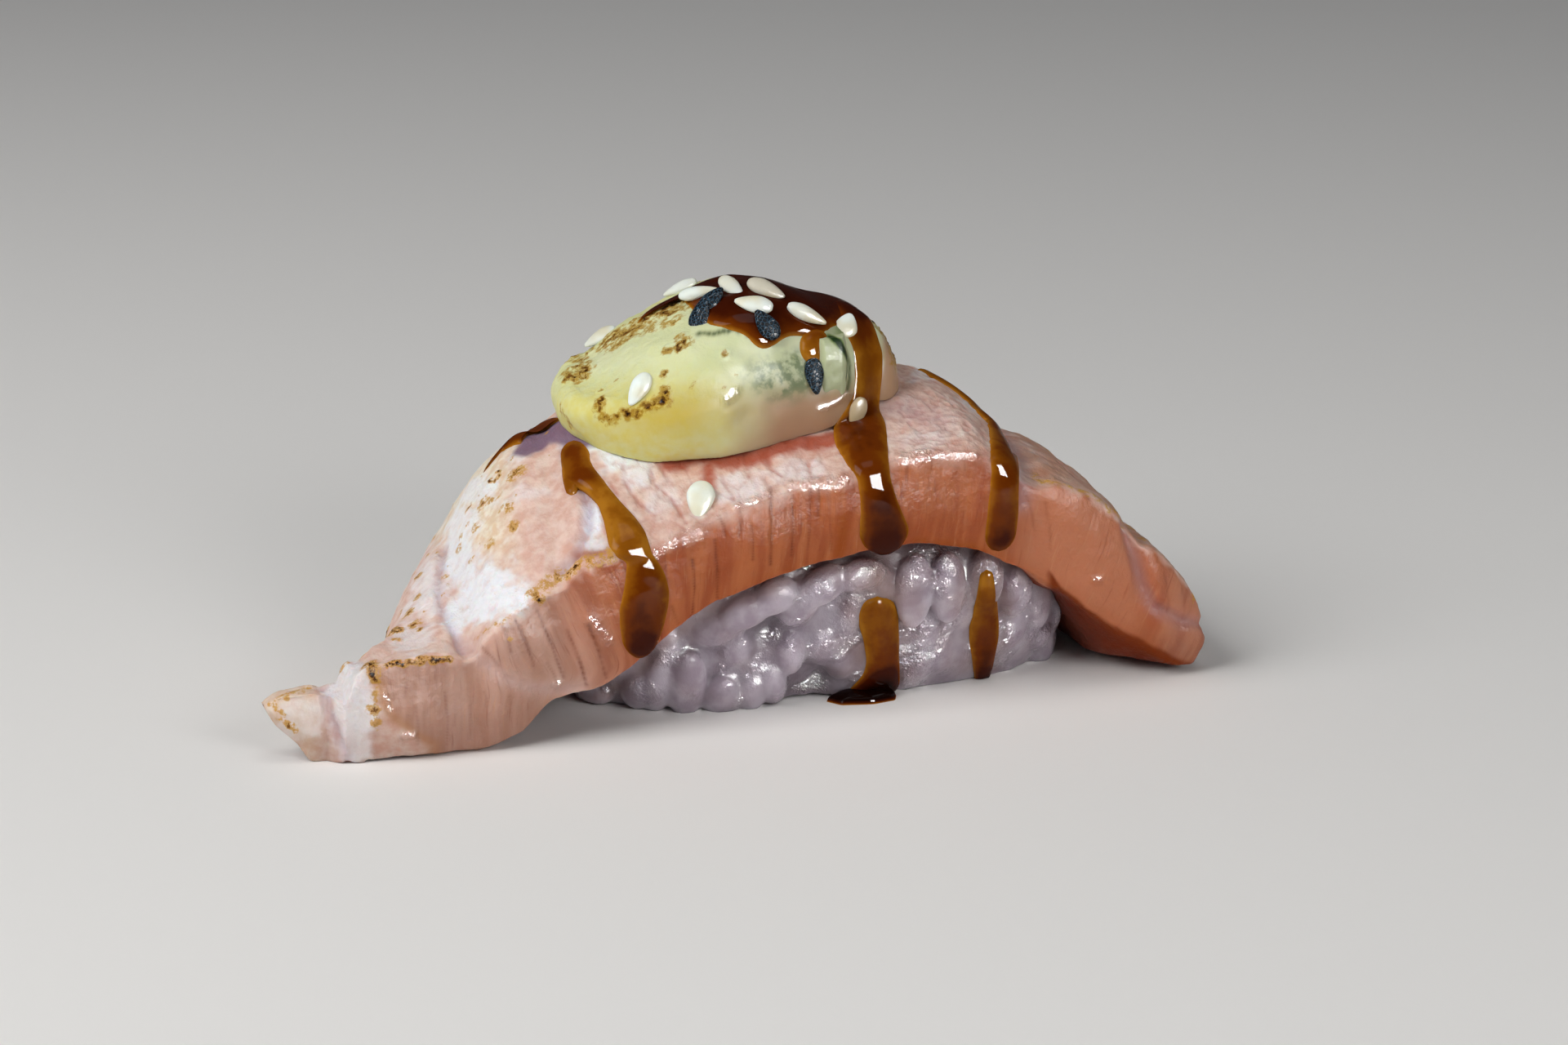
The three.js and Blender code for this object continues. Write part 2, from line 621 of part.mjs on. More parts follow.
const TOPPING_SAUCE = [
  [
    { x: -9.0, z: 36.9, width: 1.4 }, { x: -4.0, z: 37.2, width: 2.6 },
    { x: 1.5, z: 36.6, width: 2.8 }, { x: 6.5, z: 35.8, width: 2.6 },
    { x: 9.6, z: 34.6, width: 2.6 }, { x: 10.2, z: 32.1, width: 3.0 },
    { x: 9.8, z: 29.6, width: 3.0 },
  ],
];
const RICE_SAUCE = [
  [
    { x: 11.0, z: 10.3, width: 2.6 }, { x: 11.1, z: 7.1, width: 2.9 },
    { x: 11.2, z: 4.1, width: 2.8 }, { x: 11.3, z: 1.6, width: 3.2 },
  ],
  [
    { x: 20.7, z: 9.8, width: 0.9 }, { x: 20.8, z: 5.6, width: 2.2 },
    { x: 20.6, z: 2.2, width: 1.4 },
  ],
];
// Sauce on the rice lies over the grains: how far out it is laid and how far in it reaches,
// in widths of a grain.
const RICE_SAUCE_OUT = 0.6;
const RICE_SAUCE_SUNK = 0.7;
const TOPPING_SEEDS = [
  { x: -6.6, z: 38.0, lean: 24 }, { x: -3.4, z: 38.0, lean: -50 },
  { x: 0.5, z: 38.0, lean: -20 }, { x: -0.5, z: 36.8, lean: -10 },
  { x: 4.2, z: 35.8, lean: -22 }, { x: 7.8, z: 34.8, lean: 60 },
  { x: -14.0, z: 35.4, lean: 12 }, { x: -10.5, z: 30.9, lean: 66 },
  { x: -5.0, z: 36.6, lean: 80 }, { x: 0.6, z: 35.2, lean: -60 },
  { x: 4.9, z: 30.8, lean: -82 },
];
const SALMON_SEEDS = [{ x: -5.3, z: 20.4, lean: 84 }, { x: 8.2, z: 26.2, lean: 78 }];

// ---------------------------------------------------------------- putting it together

const core = riceCore();
const bareSlice = largestPiece(aboveFloor(sliceBody()).subtract(riceCore(GAP)));

// Joins the pieces and sprinkles the seeds on what they make together.
function withSeeds(pieces, seeds) {
  const joined = wasm.Manifold.union(pieces);
  const target = castTarget(joined);
  return wasm.Manifold.union([joined, ...seeds.map((seed) => seedOn(target, seed))]);
}

function salmonSolid() {
  const target = castTarget(bareSlice);
  const sauced = SALMON_SAUCE.map((route) => sauceRun(target, route));
  return largestPiece(aboveFloor(withSeeds([bareSlice, ...sauced], SALMON_SEEDS)));
}

const salmon = salmonSolid();

function riceSolid() {
  const ball = wasm.Manifold.union([core, ...riceGrains(salmon)]);
  const target = castTarget(riceCore(GRAIN.width * RICE_SAUCE_OUT));
  const runs = RICE_SAUCE.map((route) => sauceRun(target, route, GRAIN.width * RICE_SAUCE_SUNK));
  return largestPiece(aboveFloor(wasm.Manifold.union([ball, ...runs])));
}

const rice = riceSolid();

const grownSlice = sliceBody(GAP);
const avocado = largestPiece(avocadoBody().subtract(grownSlice));

function toppingSolid() {
  const mound = toppingBody();
  const target = castTarget(mound);
  const sauced = TOPPING_SAUCE.map((route) => sauceRun(target, route));
  const dressed = withSeeds([mound, ...sauced], TOPPING_SEEDS);
  return largestPiece(dressed.subtract(avocadoBody(GAP)).subtract(grownSlice));
}

const topping = toppingSolid();

function piece(name, solid, color, roughness) {
  const material = new THREE.MeshStandardMaterial({ color, roughness, metalness: 0 });
  const mesh = new THREE.Mesh(toGeometry(solid), material);
  mesh.name = name;
  return mesh;
}

const group = new THREE.Group();
group.add(
  piece('rice', rice, 0xd9d3d6, 0.35),
  piece('salmon', salmon, 0xd9a084, 0.3),
  piece('topping', topping, 0xd6cf8a, 0.3),
  piece('avocado', avocado, 0x8a9a4c, 0.4),
);

export default group;
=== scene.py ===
# %% [markdown]
# # Seared salmon nigiri, dressed in Blender
#
# A piece of nigiri is an oblong ball of pressed rice with a slice of fish draped over it. This
# one was seared with a torch, and it carries a mound of torched cream round a slice of avocado,
# runs of thick brown sauce and a pinch of sesame. The frame gives the plain solids of rice,
# salmon, topping and avocado. This lesson rebuilds each of them with its real surface.
#
# Lengths are in millimetres until the very end, when a mesh is written in metres.

# %% Load the frame
import itertools
import math

import bpy
import numpy as np
from mathutils import Matrix, Vector
from mathutils.bvhtree import BVHTree


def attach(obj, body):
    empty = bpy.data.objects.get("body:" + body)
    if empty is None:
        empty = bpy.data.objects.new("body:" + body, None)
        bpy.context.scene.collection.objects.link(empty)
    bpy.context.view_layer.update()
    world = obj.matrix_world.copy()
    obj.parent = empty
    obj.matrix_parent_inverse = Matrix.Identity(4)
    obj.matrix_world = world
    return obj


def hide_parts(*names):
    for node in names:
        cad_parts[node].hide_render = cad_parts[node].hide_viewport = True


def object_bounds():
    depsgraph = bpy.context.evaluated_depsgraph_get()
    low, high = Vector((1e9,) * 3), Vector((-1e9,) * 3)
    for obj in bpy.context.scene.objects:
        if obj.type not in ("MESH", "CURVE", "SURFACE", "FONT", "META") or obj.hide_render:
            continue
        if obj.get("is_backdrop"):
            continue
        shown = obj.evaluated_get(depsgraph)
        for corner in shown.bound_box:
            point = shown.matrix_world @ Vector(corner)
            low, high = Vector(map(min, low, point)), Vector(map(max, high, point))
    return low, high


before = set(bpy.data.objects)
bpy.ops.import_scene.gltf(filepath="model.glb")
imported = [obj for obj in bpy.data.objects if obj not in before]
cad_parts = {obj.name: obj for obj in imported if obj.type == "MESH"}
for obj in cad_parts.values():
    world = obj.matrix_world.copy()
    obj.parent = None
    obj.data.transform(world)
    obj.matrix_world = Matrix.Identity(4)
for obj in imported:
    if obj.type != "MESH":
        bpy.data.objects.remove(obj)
cad_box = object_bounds()
MM = 0.001
print("nodes:", sorted(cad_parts))

# %% [markdown]
# ## Where the guest sits
#
# The camera looks as a guest at the counter does: a little from the left and from slightly
# above, through a long lens that keeps the shape undistorted. It comes first, because runs of
# sauce and seeds are placed along the guest's line of sight later on.

# %% Camera
GUEST_TURN = math.radians(18.0)
GUEST_RISE = math.radians(16.0)
GUEST_AIM = Vector((4.0, -9.0, 16.6))
GUEST_AWAY = 380.95
LENS = 100.0
SENSOR = 36.0

forward = Vector((
    math.sin(GUEST_TURN) * math.cos(GUEST_RISE),
    math.cos(GUEST_TURN) * math.cos(GUEST_RISE),
    -math.sin(GUEST_RISE),
))
EYE = GUEST_AIM - forward * GUEST_AWAY

camera_data = bpy.data.cameras.new("guest")
camera_data.lens = LENS
camera_data.sensor_width = SENSOR
camera_data.clip_start = 0.01
camera = bpy.data.objects.new("guest", camera_data)
camera.matrix_world = Matrix.Translation(EYE * MM) @ forward.to_track_quat("-Z", "Y").to_matrix().to_4x4()
bpy.context.scene.collection.objects.link(camera)
bpy.context.scene.camera = camera
print("the guest's eye, mm:", [round(v, 1) for v in EYE])

# %% [markdown]
# ## Two small helpers
#
# Every material below is a tree of nodes. Writing `nodes.new` and `links.new` over and over
# hides what a tree does, so one function adds a node with its settings and its inputs. An input
# that is the output of another node becomes a link, and anything else is a value.
#
# Colours are written as the hex values a paint program shows, and turned to the linear numbers
# that a renderer multiplies.

# %% Nodes and colours
def add(tree, kind, settings=None, inputs=None):
    made = tree.nodes.new(kind)
    for name, value in (settings or {}).items():
        setattr(made, name, value)
    for name, value in (inputs or {}).items():
        if isinstance(value, bpy.types.NodeSocket):
            tree.links.new(value, made.inputs[name])
        else:
            made.inputs[name].default_value = value
    return made


def colour(hex_code):
    channels = [int(hex_code[i:i + 2], 16) / 255 for i in (1, 3, 5)]
    return tuple(c / 12.92 if c <= 0.04045 else ((c + 0.055) / 1.055) ** 2.4 for c in channels) + (1,)

# %% [markdown]
# ## Meshes from rings of points
#
# Most pieces here are skins over a row of rings, like a knitted sock: the slice is a row of
# cross-sections, the mound a stack of outlines. One function turns such a grid of points into a
# closed mesh, with a fan of triangles over each end. It measures the volume, and turns the faces
# round if they look inwards.

# %% Rings to a mesh
def ring_faces(rows, around):
    start = np.arange(rows - 1)[:, None] * around
    here = np.arange(around)[None]
    there = (here + 1) % around
    quads = np.stack([start + here, start + there, start + around + there, start + around + here], -1)
    return quads.reshape(-1, 4)


def closed_skin(grid):
    """Points and faces of a closed mesh over a grid of rings, shaped rows x around x 3."""
    rows, around = grid.shape[:2]
    points = np.concatenate([grid.reshape(-1, 3), grid[0].mean(0)[None], grid[-1].mean(0)[None]])
    faces = ring_faces(rows, around).tolist()
    here = np.arange(around)
    there = (here + 1) % around
    first, last = rows * around, rows * around + 1
    base = (rows - 1) * around
    faces += np.stack([np.full(around, first), there, here], -1).tolist()
    faces += np.stack([np.full(around, last), base + here, base + there], -1).tolist()
    quads = np.array(faces[: (rows - 1) * around])
    corner = [points[quads[:, i]] for i in range(4)]
    volume = np.einsum("ij,ij->i", corner[0], np.cross(corner[1], corner[2])).sum()
    volume += np.einsum("ij,ij->i", corner[0], np.cross(corner[2], corner[3])).sum()
    if volume < 0:
        faces = [face[::-1] for face in faces]
    return points, faces


def with_ends(values):
    """A value for each grid point, and the two end points that closed_skin adds."""
    return np.concatenate([values.reshape(-1), [values[0].mean(), values[-1].mean()]])


def make_piece(name, points, faces, marks=None, vectors=None):
    """A smooth mesh object from millimetre points, with its named marks."""
    mesh = bpy.data.meshes.new(name)
    mesh.from_pydata((np.asarray(points) * MM).tolist(), [], faces)
    for mark, values in (marks or {}).items():
        layer = mesh.attributes.new(mark, "FLOAT", "POINT")
        layer.data.foreach_set("value", np.asarray(values, np.float32))
    for mark, values in (vectors or {}).items():
        layer = mesh.attributes.new(mark, "FLOAT_VECTOR", "POINT")
        layer.data.foreach_set("vector", np.asarray(values, np.float32).ravel())
    mesh.shade_smooth()
    piece = bpy.data.objects.new(name, mesh)
    bpy.context.scene.collection.objects.link(piece)
    print(f"{name}: {len(mesh.vertices)} points, {sum(len(p.vertices) - 2 for p in mesh.polygons)} triangles")
    return piece

# %% [markdown]
# ## Noise for shapes
#
# Food is never smooth. A shader can fake fine roughness, but a crease, a crater or a crumb is a
# real shape, so the points themselves have to move. Two kinds of noise do it. `hills` is the
# classic gradient noise: soft bumps of a chosen width. `cracks` scatters cell middles in a
# jittered grid and returns how near a point is to the border between two cells, which draws the
# net of fine cracks in cooked flesh.

# %% Noise
noise_dice = np.random.default_rng(7)
shuffle = noise_dice.permutation(256)
slopes = noise_dice.normal(size=(256, 3))
slopes /= np.linalg.norm(slopes, axis=1, keepdims=True)
jitter = noise_dice.random((256, 3))


def lattice(cell):
    x, y, z = (cell[..., i] & 255 for i in range(3))
    return shuffle[(shuffle[(shuffle[x] + y) & 255] + z) & 255]


def hills(points, width, seed):
    """Soft bumps between about -1 and 1, `width` millimetres apart."""
    q = points / width + seed * 17.3
    cell = np.floor(q).astype(np.int64)
    inside = q - cell
    fade = inside ** 3 * (inside * (inside * 6 - 15) + 10)
    total = np.zeros(len(points))
    for corner in itertools.product((0, 1), repeat=3):
        slope = slopes[lattice(cell + np.array(corner))]
        weight = np.where(corner, fade, 1 - fade).prod(1)
        total += weight * ((inside - corner) * slope).sum(1)
    return total * 1.7


def rough_hills(points, width, seed, layers=3):
    """Bumps with smaller bumps on them."""
    return sum(hills(points, width / 2 ** k, seed + k) / 2 ** k for k in range(layers))


def cracks(points, width, seed):
    """0 on a crack, rising to about 1 in the middle of the scale between cracks."""
    q = points / width + seed * 11.7
    cell = np.floor(q).astype(np.int64)
    near = np.full((2, len(points)), 9.0)
    for step in itertools.product((-1, 0, 1), repeat=3):
        other = cell + np.array(step)
        away = np.linalg.norm(other + jitter[lattice(other)] - q, axis=1)
        near[1] = np.minimum(near[1], np.maximum(away, near[0]))
        near[0] = np.minimum(near[0], away)
    return near[1] - near[0]


def ramp(values, low, high):
    """A soft step from 0 at `low` to 1 at `high`."""
    t = np.clip((values - low) / (high - low), 0, 1)
    return t * t * (3 - 2 * t)

# %% [markdown]
# ## The slice of salmon: its form
#
# The slice lies with its left end on the board, climbs over the rice and hangs down on the
# right. Its form is a rule: at each place along its length, a profile gives the height of the
# lower edge of the cut face (the hem), of its upper edge (the ridge) and of the crown behind it.
# A smooth curve through the rows of the profile never overshoots them, so no hump appears that
# nobody asked for.

# %% The slice's profile
HALF_LENGTH = 42.8
HALF_WIDTH = 14.4
BACK_OVERHANG = 1.0
THICKNESS = 8.4
DEEPEST = 12.5
CROWN_AT = 0.6
REAR_DROP = 4.6
REAR_THICKNESS = 6.5
TIP_LIFT = 0.7
BELLY_FROM = 24.0
BELLY_TO = 32.0
BELLY_DEPTH = 2.8

# along the slice, ridge, hem, crown
SLICE_PROFILE = np.array([
    (-42.8, 5.6, 4.3, 5.5), (-40.4, 5.9, 1.9, 5.9), (-38.8, 6.2, 0.0, 6.2),
    (-36.6, 6.4, 0.0, 6.6), (-35.4, 9.0, 0.0, 8.9), (-29.6, 9.2, 0.0, 9.2),
    (-26.0, 9.7, 0.1, 11.6), (-21.5, 12.4, 0.9, 17.0), (-18.0, 14.6, 3.9, 21.0),
    (-15.0, 16.2, 4.1, 23.2), (-11.6, 17.1, 5.6, 24.6), (-7.4, 18.0, 9.3, 25.0),
    (-1.6, 19.8, 12.0, 25.4), (5.4, 21.5, 13.9, 25.8), (14.2, 23.3, 14.9, 26.6),
    (19.4, 23.4, 13.9, 26.4), (25.0, 20.7, 11.4, 23.6), (28.2, 19.5, 9.4, 20.9),
    (31.0, 18.1, 7.2, 19.2), (33.6, 16.0, 5.6, 17.2), (36.0, 13.9, 4.0, 14.7),
    (40.6, 9.0, 0.9, 9.7), (42.8, 5.4, 0.6, 5.1),
])
# along the slice, where the aslant cut at its left end passes
LEFT_CUT = np.array([
    (-42.8, -9.0), (-37.0, -8.6), (-34.5, -7.8), (-31.6, -4.3), (-30.0, 0.0), (-28.4, 5.0),
    (-26.0, 9.9), (-22.0, 14.5), (-18.0, 19.0),
])
# front, back, depth, width
FLAKE_FOLDS = [
    (-36.2, -34.0, 0.9, 1.2), (-25.8, -21.5, 1.2, 1.5), (-17.5, -12.5, 0.9, 1.4),
    (25.5, 28.0, 0.9, 1.4), (35.6, 38.6, 1.0, 1.2),
]


def smooth_curve(x, y):
    slope = np.diff(y) / np.diff(x)
    before, after = np.append(slope[:1], slope), np.append(slope, slope[-1:])
    product = before * after
    tangent = np.where(product > 0, 2 * product / np.where(product > 0, before + after, 1), 0)

    def value(at):
        i = np.clip(np.searchsorted(x, at) - 1, 0, len(x) - 2)
        span = x[i + 1] - x[i]
        t = np.clip((at - x[i]) / span, 0, 1)
        bend = t * (1 - t) * span
        rise = (y[i + 1] - y[i]) * t * t * (3 - 2 * t)
        return y[i] + rise + bend * (tangent[i] * (1 - t) - tangent[i + 1] * t)

    return value


ridge_at, hem_at, crown_at = (
    smooth_curve(SLICE_PROFILE[:, 0], SLICE_PROFILE[:, column]) for column in (1, 2, 3))
left_cut_at = smooth_curve(*LEFT_CUT.T)

# %% [markdown]
# Four rules turn the profile into cross-sections: how far the slice reaches to the front and the
# back, how its top rises from ridge to crown and falls behind it, how thick it is below, and how
# deep the folds between two flakes are, which run aslant over it.

# %% Cross-sections of the slice
def slice_edge(x, power, least):
    return HALF_WIDTH * (1 - (1 - least) * (np.abs(x) / HALF_LENGTH) ** power)


def slice_span(x):
    front = -slice_edge(x, 9, 0.86) + 1.6 * np.clip((-36.6 - x) / 1.2, 0, 1)
    aslant = np.where(x < LEFT_CUT[-1, 0], left_cut_at(x), np.inf)
    back = np.minimum(slice_edge(x, 3.2, 0.5) + BACK_OVERHANG, aslant)
    return front, back


def foot_at(x):
    """The lowest that the slice reaches at x."""
    return np.where(x < -38, hem_at(x), TIP_LIFT * np.clip((x - 24) / 6, 0, 1))


def top_height(x, y):
    front, back = slice_span(x)
    middle = front + (back - front) * CROWN_AT
    ridge, crown = ridge_at(x), crown_at(x)
    climb = np.clip((y - front) / (middle - front), 0, 1)
    fall = np.clip((y - middle) / (back - middle), 0, 1)
    drop = np.minimum(REAR_DROP, (crown - foot_at(x)) * 0.38)
    return np.where(
        y < middle,
        ridge + (crown - ridge) * np.sin(climb * math.pi / 2),
        crown - drop * (1 - np.cos(fall * math.pi / 2)),
    )


def under_height(x, y):
    front, back = slice_span(x)
    t = (y - front) / (back - front)
    steepness = (crown_at(x + 1) - crown_at(x - 1)) / 2
    belly = np.clip((x - BELLY_FROM) / (BELLY_TO - BELLY_FROM), 0, 1)
    middle = np.minimum((THICKNESS + BELLY_DEPTH * belly) * np.hypot(1, steepness), DEEPEST + 4 * belly)
    at_front = ridge_at(x) - hem_at(x)
    near = at_front + (middle - at_front) * np.sin(np.clip(t / 0.35, 0, 1) * math.pi / 2)
    rear = REAR_THICKNESS + (middle - REAR_THICKNESS) * belly
    far = middle + (rear - middle) * (np.clip(t - 0.35, 0, 1) / 0.65) ** 2
    return np.maximum(top_height(x, y) - np.where(t < 0.35, near, far), foot_at(x))


def fold_depth(x, y):
    front, back = slice_span(x)
    across = np.clip((y - front) / (back - front), 0, 1)
    total = 0
    for at_front, at_back, depth, width in FLAKE_FOLDS:
        away = (x - (at_front + (at_back - at_front) * across)) / width
        total = total + depth * np.exp(-away * away)
    return total

# %% [markdown]
# The cross-sections are sampled densely where the guest looks: the cut face and the first part
# of the top get most of the points, and the hidden underside few. A knife leaves sharp edges on
# a drawing but not on fish, so each section is smoothed along its own outline until its corners
# are round.

# %% The slice as a grid
STATIONS = 500  # cross-sections along the slice
FACES = {"front": 62, "top": 74, "back": 14, "under": 22}
AROUND = sum(FACES.values())
CUT_FACE_BULGE = 0.6
END_ROUNDING = 1.3
CORNER_SMOOTHINGS = 12
ROLLED_SMOOTHINGS = 70
HEM_ALLOWANCE = 0.3
HEM_TUCK = 0.7


def soften(grid, times, axis=1, closed=True):
    """Moves each point towards the middle of its neighbours along one axis, some times over."""
    for _ in range(times):
        before, after = np.roll(grid, 1, axis), np.roll(grid, -1, axis)
        if not closed:
            ends = [slice(None)] * grid.ndim
            for end in (0, -1):
                ends[axis] = end
                before[tuple(ends)] = after[tuple(ends)] = grid[tuple(ends)]
        grid = 0.5 * grid + 0.25 * (before + after)
    return grid


def unevenness(x, y, z):
    return (0.16 * np.sin(0.41 * x + 0.5 * z) + 0.1 * np.sin(0.83 * x - 0.9 * y + 1.7)
            + 0.08 * np.sin(0.8 * z + 1.1 * y))


def slice_grid():
    x = np.linspace(-HALF_LENGTH, HALF_LENGTH, STATIONS)[:, None]
    front, back = slice_span(x)
    fade = np.clip((HALF_LENGTH - np.abs(x)) / 3, 0, 1)
    part = []
    t = np.linspace(0, 1, FACES["front"], endpoint=False)[None]
    hem = np.maximum(hem_at(x) - HEM_ALLOWANCE, 0)
    z = hem + (ridge_at(x) - fold_depth(x, front) - hem) * t
    swell = CUT_FACE_BULGE * np.sin(math.pi * t) - np.minimum(HEM_TUCK, (back - front) * 0.1) * (1 - t) ** 3
    inward = 0.5 * fold_depth(x, front) * np.sin(math.pi * t)
    part.append((front - swell - unevenness(x, 0 * z, z) * fade + inward, z))
    t = np.linspace(0, 1, FACES["top"], endpoint=False)[None] ** 1.35
    y = front + (back - front) * t
    part.append((y, top_height(x, y) - fold_depth(x, y) + unevenness(x, y, 0 * y) * fade))
    t = np.linspace(0, 1, FACES["back"], endpoint=False)[None]
    top, under = top_height(x, back), under_height(x, back) + 0.4
    part.append((back + CUT_FACE_BULGE * np.sin(math.pi * t), top + (under - top) * t))
    t = np.linspace(0, 1, FACES["under"], endpoint=False)[None]
    y = back + (front - back) * t
    part.append((y, under_height(x, y) + 0.4 * (t == 0)))
    y, z = (np.concatenate([p[i] for p in part], 1) for i in range(2))
    grid = np.stack([np.broadcast_to(x, y.shape), y, z], -1)
    crisp = soften(grid[:, :, 1:], CORNER_SMOOTHINGS)
    rolled = soften(crisp, ROLLED_SMOOTHINGS)
    on_ridge = np.exp(-(((np.arange(AROUND) - FACES["front"]) / 22.0) ** 2))[None, :, None]
    roll = (ramp(x, -13, -7) * (1 - 0.6 * ramp(x, 21, 26)))[:, :, None] * on_ridge
    grid[:, :, 1:] = crisp + (rolled - crisp) * roll
    inset = np.clip((END_ROUNDING - (HALF_LENGTH - np.abs(x))) / END_ROUNDING, 0, 0.98)
    shrink = 1 - np.sqrt(1 - inset ** 2)
    middle = grid.mean(1, keepdims=True)
    away = grid - middle
    grid[:, :, 2] -= away[:, :, 2] * shrink * 0.85
    width = np.abs(away[:, :, 1]).max(1, keepdims=True)
    grid[:, :, 1] -= away[:, :, 1] / width * np.minimum(END_ROUNDING, width * 0.8) * shrink
    return grid


slice_base = slice_grid()
points, faces = closed_skin(slice_base)
slice_tree = BVHTree.FromPolygons(points.tolist(), faces)
print("the slice's box, mm:", points.min(0).round(1), points.max(0).round(1))

# %% [markdown]
# ## Drawing on food
#
# Fibres, creases and scorch marks belong to certain places. They are drawn as a guest sees them,
# on an upright pane of glass that stands 14.5 mm in front of the middle: x runs along it and z
# upwards. Each point of a drawn line is carried along the line of sight until it meets the food.
# From there on it is a point in space, so the mark fades with real distance and looks right from
# every side.

# %% From the pane to the food
PANE_Y = -14.5
LOOK_FROM, LOOK_TO = 335, 400  # distances from the eye between which the food lies


def seen_at(tree, x, z, near_miss=1.2):
    """The place and normal of a surface behind the pane at (x, z); None if the line misses it."""
    way = (Vector((x, PANE_Y, z)) - EYE).normalized()
    place, normal, _, _ = tree.ray_cast(EYE, way)
    if place is None:
        tries = [tree.find_nearest(EYE + way * away) for away in np.arange(LOOK_FROM, LOOK_TO, 1.0)]
        place, normal, _, missed_by = min(tries, key=lambda found: found[3])
        if missed_by > near_miss:
            return None
    return np.array(place), np.array(normal)


def along_route(route, step):
    """Points `step` apart along straight stretches between the route's points."""
    route = np.asarray(route, float)
    lengths = np.linalg.norm(np.diff(route[:, :2], axis=0), axis=1)
    places = np.append(0, lengths.cumsum())
    wanted = np.linspace(0, places[-1], max(2, int(places[-1] / step) + 1))
    return np.stack([np.interp(wanted, places, route[:, i]) for i in range(route.shape[1])], -1)


def laid(tree, route, step=0.4):
    hits = [seen_at(tree, x, z) for x, z in along_route(route, step)]
    return np.array([hit[0] for hit in hits if hit])


def nearness(points, samples, width):
    """1 at the samples, fading to 0 over about `width`."""
    total = np.zeros(len(points))
    low, high = samples.min(0) - 3 * width, samples.max(0) + 3 * width
    close = np.flatnonzero(((points > low) & (points < high)).all(1))
    best = np.full(len(close), np.inf)
    for sample in samples:
        best = np.minimum(best, ((points[close] - sample) ** 2).sum(1))
    total[close] = np.exp(-best / width ** 2)
    return total


def strokes(points, tree, rows, step=0.4):
    """The strongest of several drawn lines; a row is a route, a width and a strength."""
    total = np.zeros(len(points))
    for route, width, strength in rows:
        total = np.maximum(total, strength * nearness(points, laid(tree, route, step), width))
    return total


def on_pane(points):
    """Where the guest sees each point on the pane."""
    eye = np.array(EYE)
    share = (PANE_Y - eye[1]) / (points[:, 1] - eye[1])
    return eye[0] + share * (points[:, 0] - eye[0]), eye[2] + share * (points[:, 2] - eye[2])

# %% [markdown]
# ## The slice of salmon: its relief
#
# The cut face shows the muscle in long fibres that run from the ridge to the hem, a millimetre
# or two apart, and flakes meet in deeper creases. The torch has shrunk the top into a net of
# fine cracks and blistered it in spots.

# %% Places of creases, fibres and cracks
# route, depth and width of each crease
CREASES = [
    ([(-27.8, 18.6), (-28.3, 16.6), (-28.4, 14.6), (-28.0, 12.9), (-26.9, 10.8), (-26.6, 9.5)], 0.4, 0.42),
    ([(-17.4, 27.0), (-16.6, 24.6), (-15.2, 21.5), (-15.4, 19.3), (-16.2, 17.0), (-17.6, 15.6)], 0.55, 0.5),
    ([(-26.2, 10.2), (-24.8, 8.5), (-22.7, 6.7), (-20.5, 5.6), (-18.4, 5.2), (-16.0, 5.0)], 0.26, 0.6),
    ([(-38.8, 8.2), (-37.8, 4.4), (-36.6, 0.6)], 0.34, 0.5),
    ([(33.9, 15.4), (34.9, 12.3), (35.8, 9.3), (36.8, 7.3), (39.8, 5.7), (42.3, 5.3)], 0.55, 0.6),
    ([(22.0, 25.2), (23.9, 22.2), (24.4, 20.3), (24.2, 18.2)], 0.3, 0.8),
    ([(27.4, 21.8), (29.3, 19.9), (31.2, 18.4)], 0.25, 0.5),
]
# upper end, lower end and strength of each strong fibre
FIBRES = [
    (-19.8, 12.4, -17.6, 6.2, 1.0), (-21.7, 11.7, -20.2, 7.6, 0.9), (-17.2, 10.4, -15.5, 5.2, 1.0),
    (-15.3, 10.6, -13.8, 5.8, 0.9), (-23.0, 11.6, -22.2, 9.0, 0.6), (-12.4, 16.2, -11.2, 13.0, 0.8),
    (-24.7, 9.6, -23.3, 7.8, 0.7), (-19.0, 7.6, -18.2, 5.8, 0.5), (-31.4, 8.2, -31.5, 5.9, 0.45),
    (-30.6, 4.9, -30.5, 1.6, 0.5), (-28.0, 5.9, -27.9, 1.3, 0.45), (-27.2, 5.2, -27.3, 2.9, 0.2),
    (-25.9, 4.5, -26.0, 1.6, 0.3), (-24.6, 5.6, -24.4, 4.4, 0.25), (-22.4, 5.0, -22.3, 3.6, 0.35),
    (-8.4, 15.9, -8.9, 9.2, 0.7), (-7.9, 11.6, -7.2, 9.0, 0.6),
    (-6.0, 15.6, -6.0, 10.4, 1.0), (-4.0, 17.2, -3.8, 11.5, 1.0), (-3.6, 19.4, -3.1, 17.6, 0.8),
    (-1.8, 20.4, -1.8, 17.4, 0.8), (-0.7, 18.2, -0.6, 15.2, 0.9), (1.0, 21.6, 1.0, 14.6, 1.0),
    (3.0, 20.6, 2.9, 15.3, 1.0), (4.6, 21.0, 4.2, 13.8, 0.7), (5.3, 21.4, 5.3, 18.6, 0.8),
    (6.2, 20.5, 6.5, 15.4, 0.5), (13.4, 23.1, 13.1, 19.6, 0.6), (15.7, 22.7, 15.4, 20.2, 0.6),
    (18.6, 22.8, 18.7, 21.0, 0.5), (24.4, 19.6, 25.3, 15.6, 0.4), (26.3, 17.9, 26.9, 13.6, 0.35),
    (-10.0, 15.2, -9.9, 8.6, 0.5), (37.6, 11.6, 38.4, 6.6, 0.5), (39.4, 9.6, 39.9, 6.0, 0.4),
]
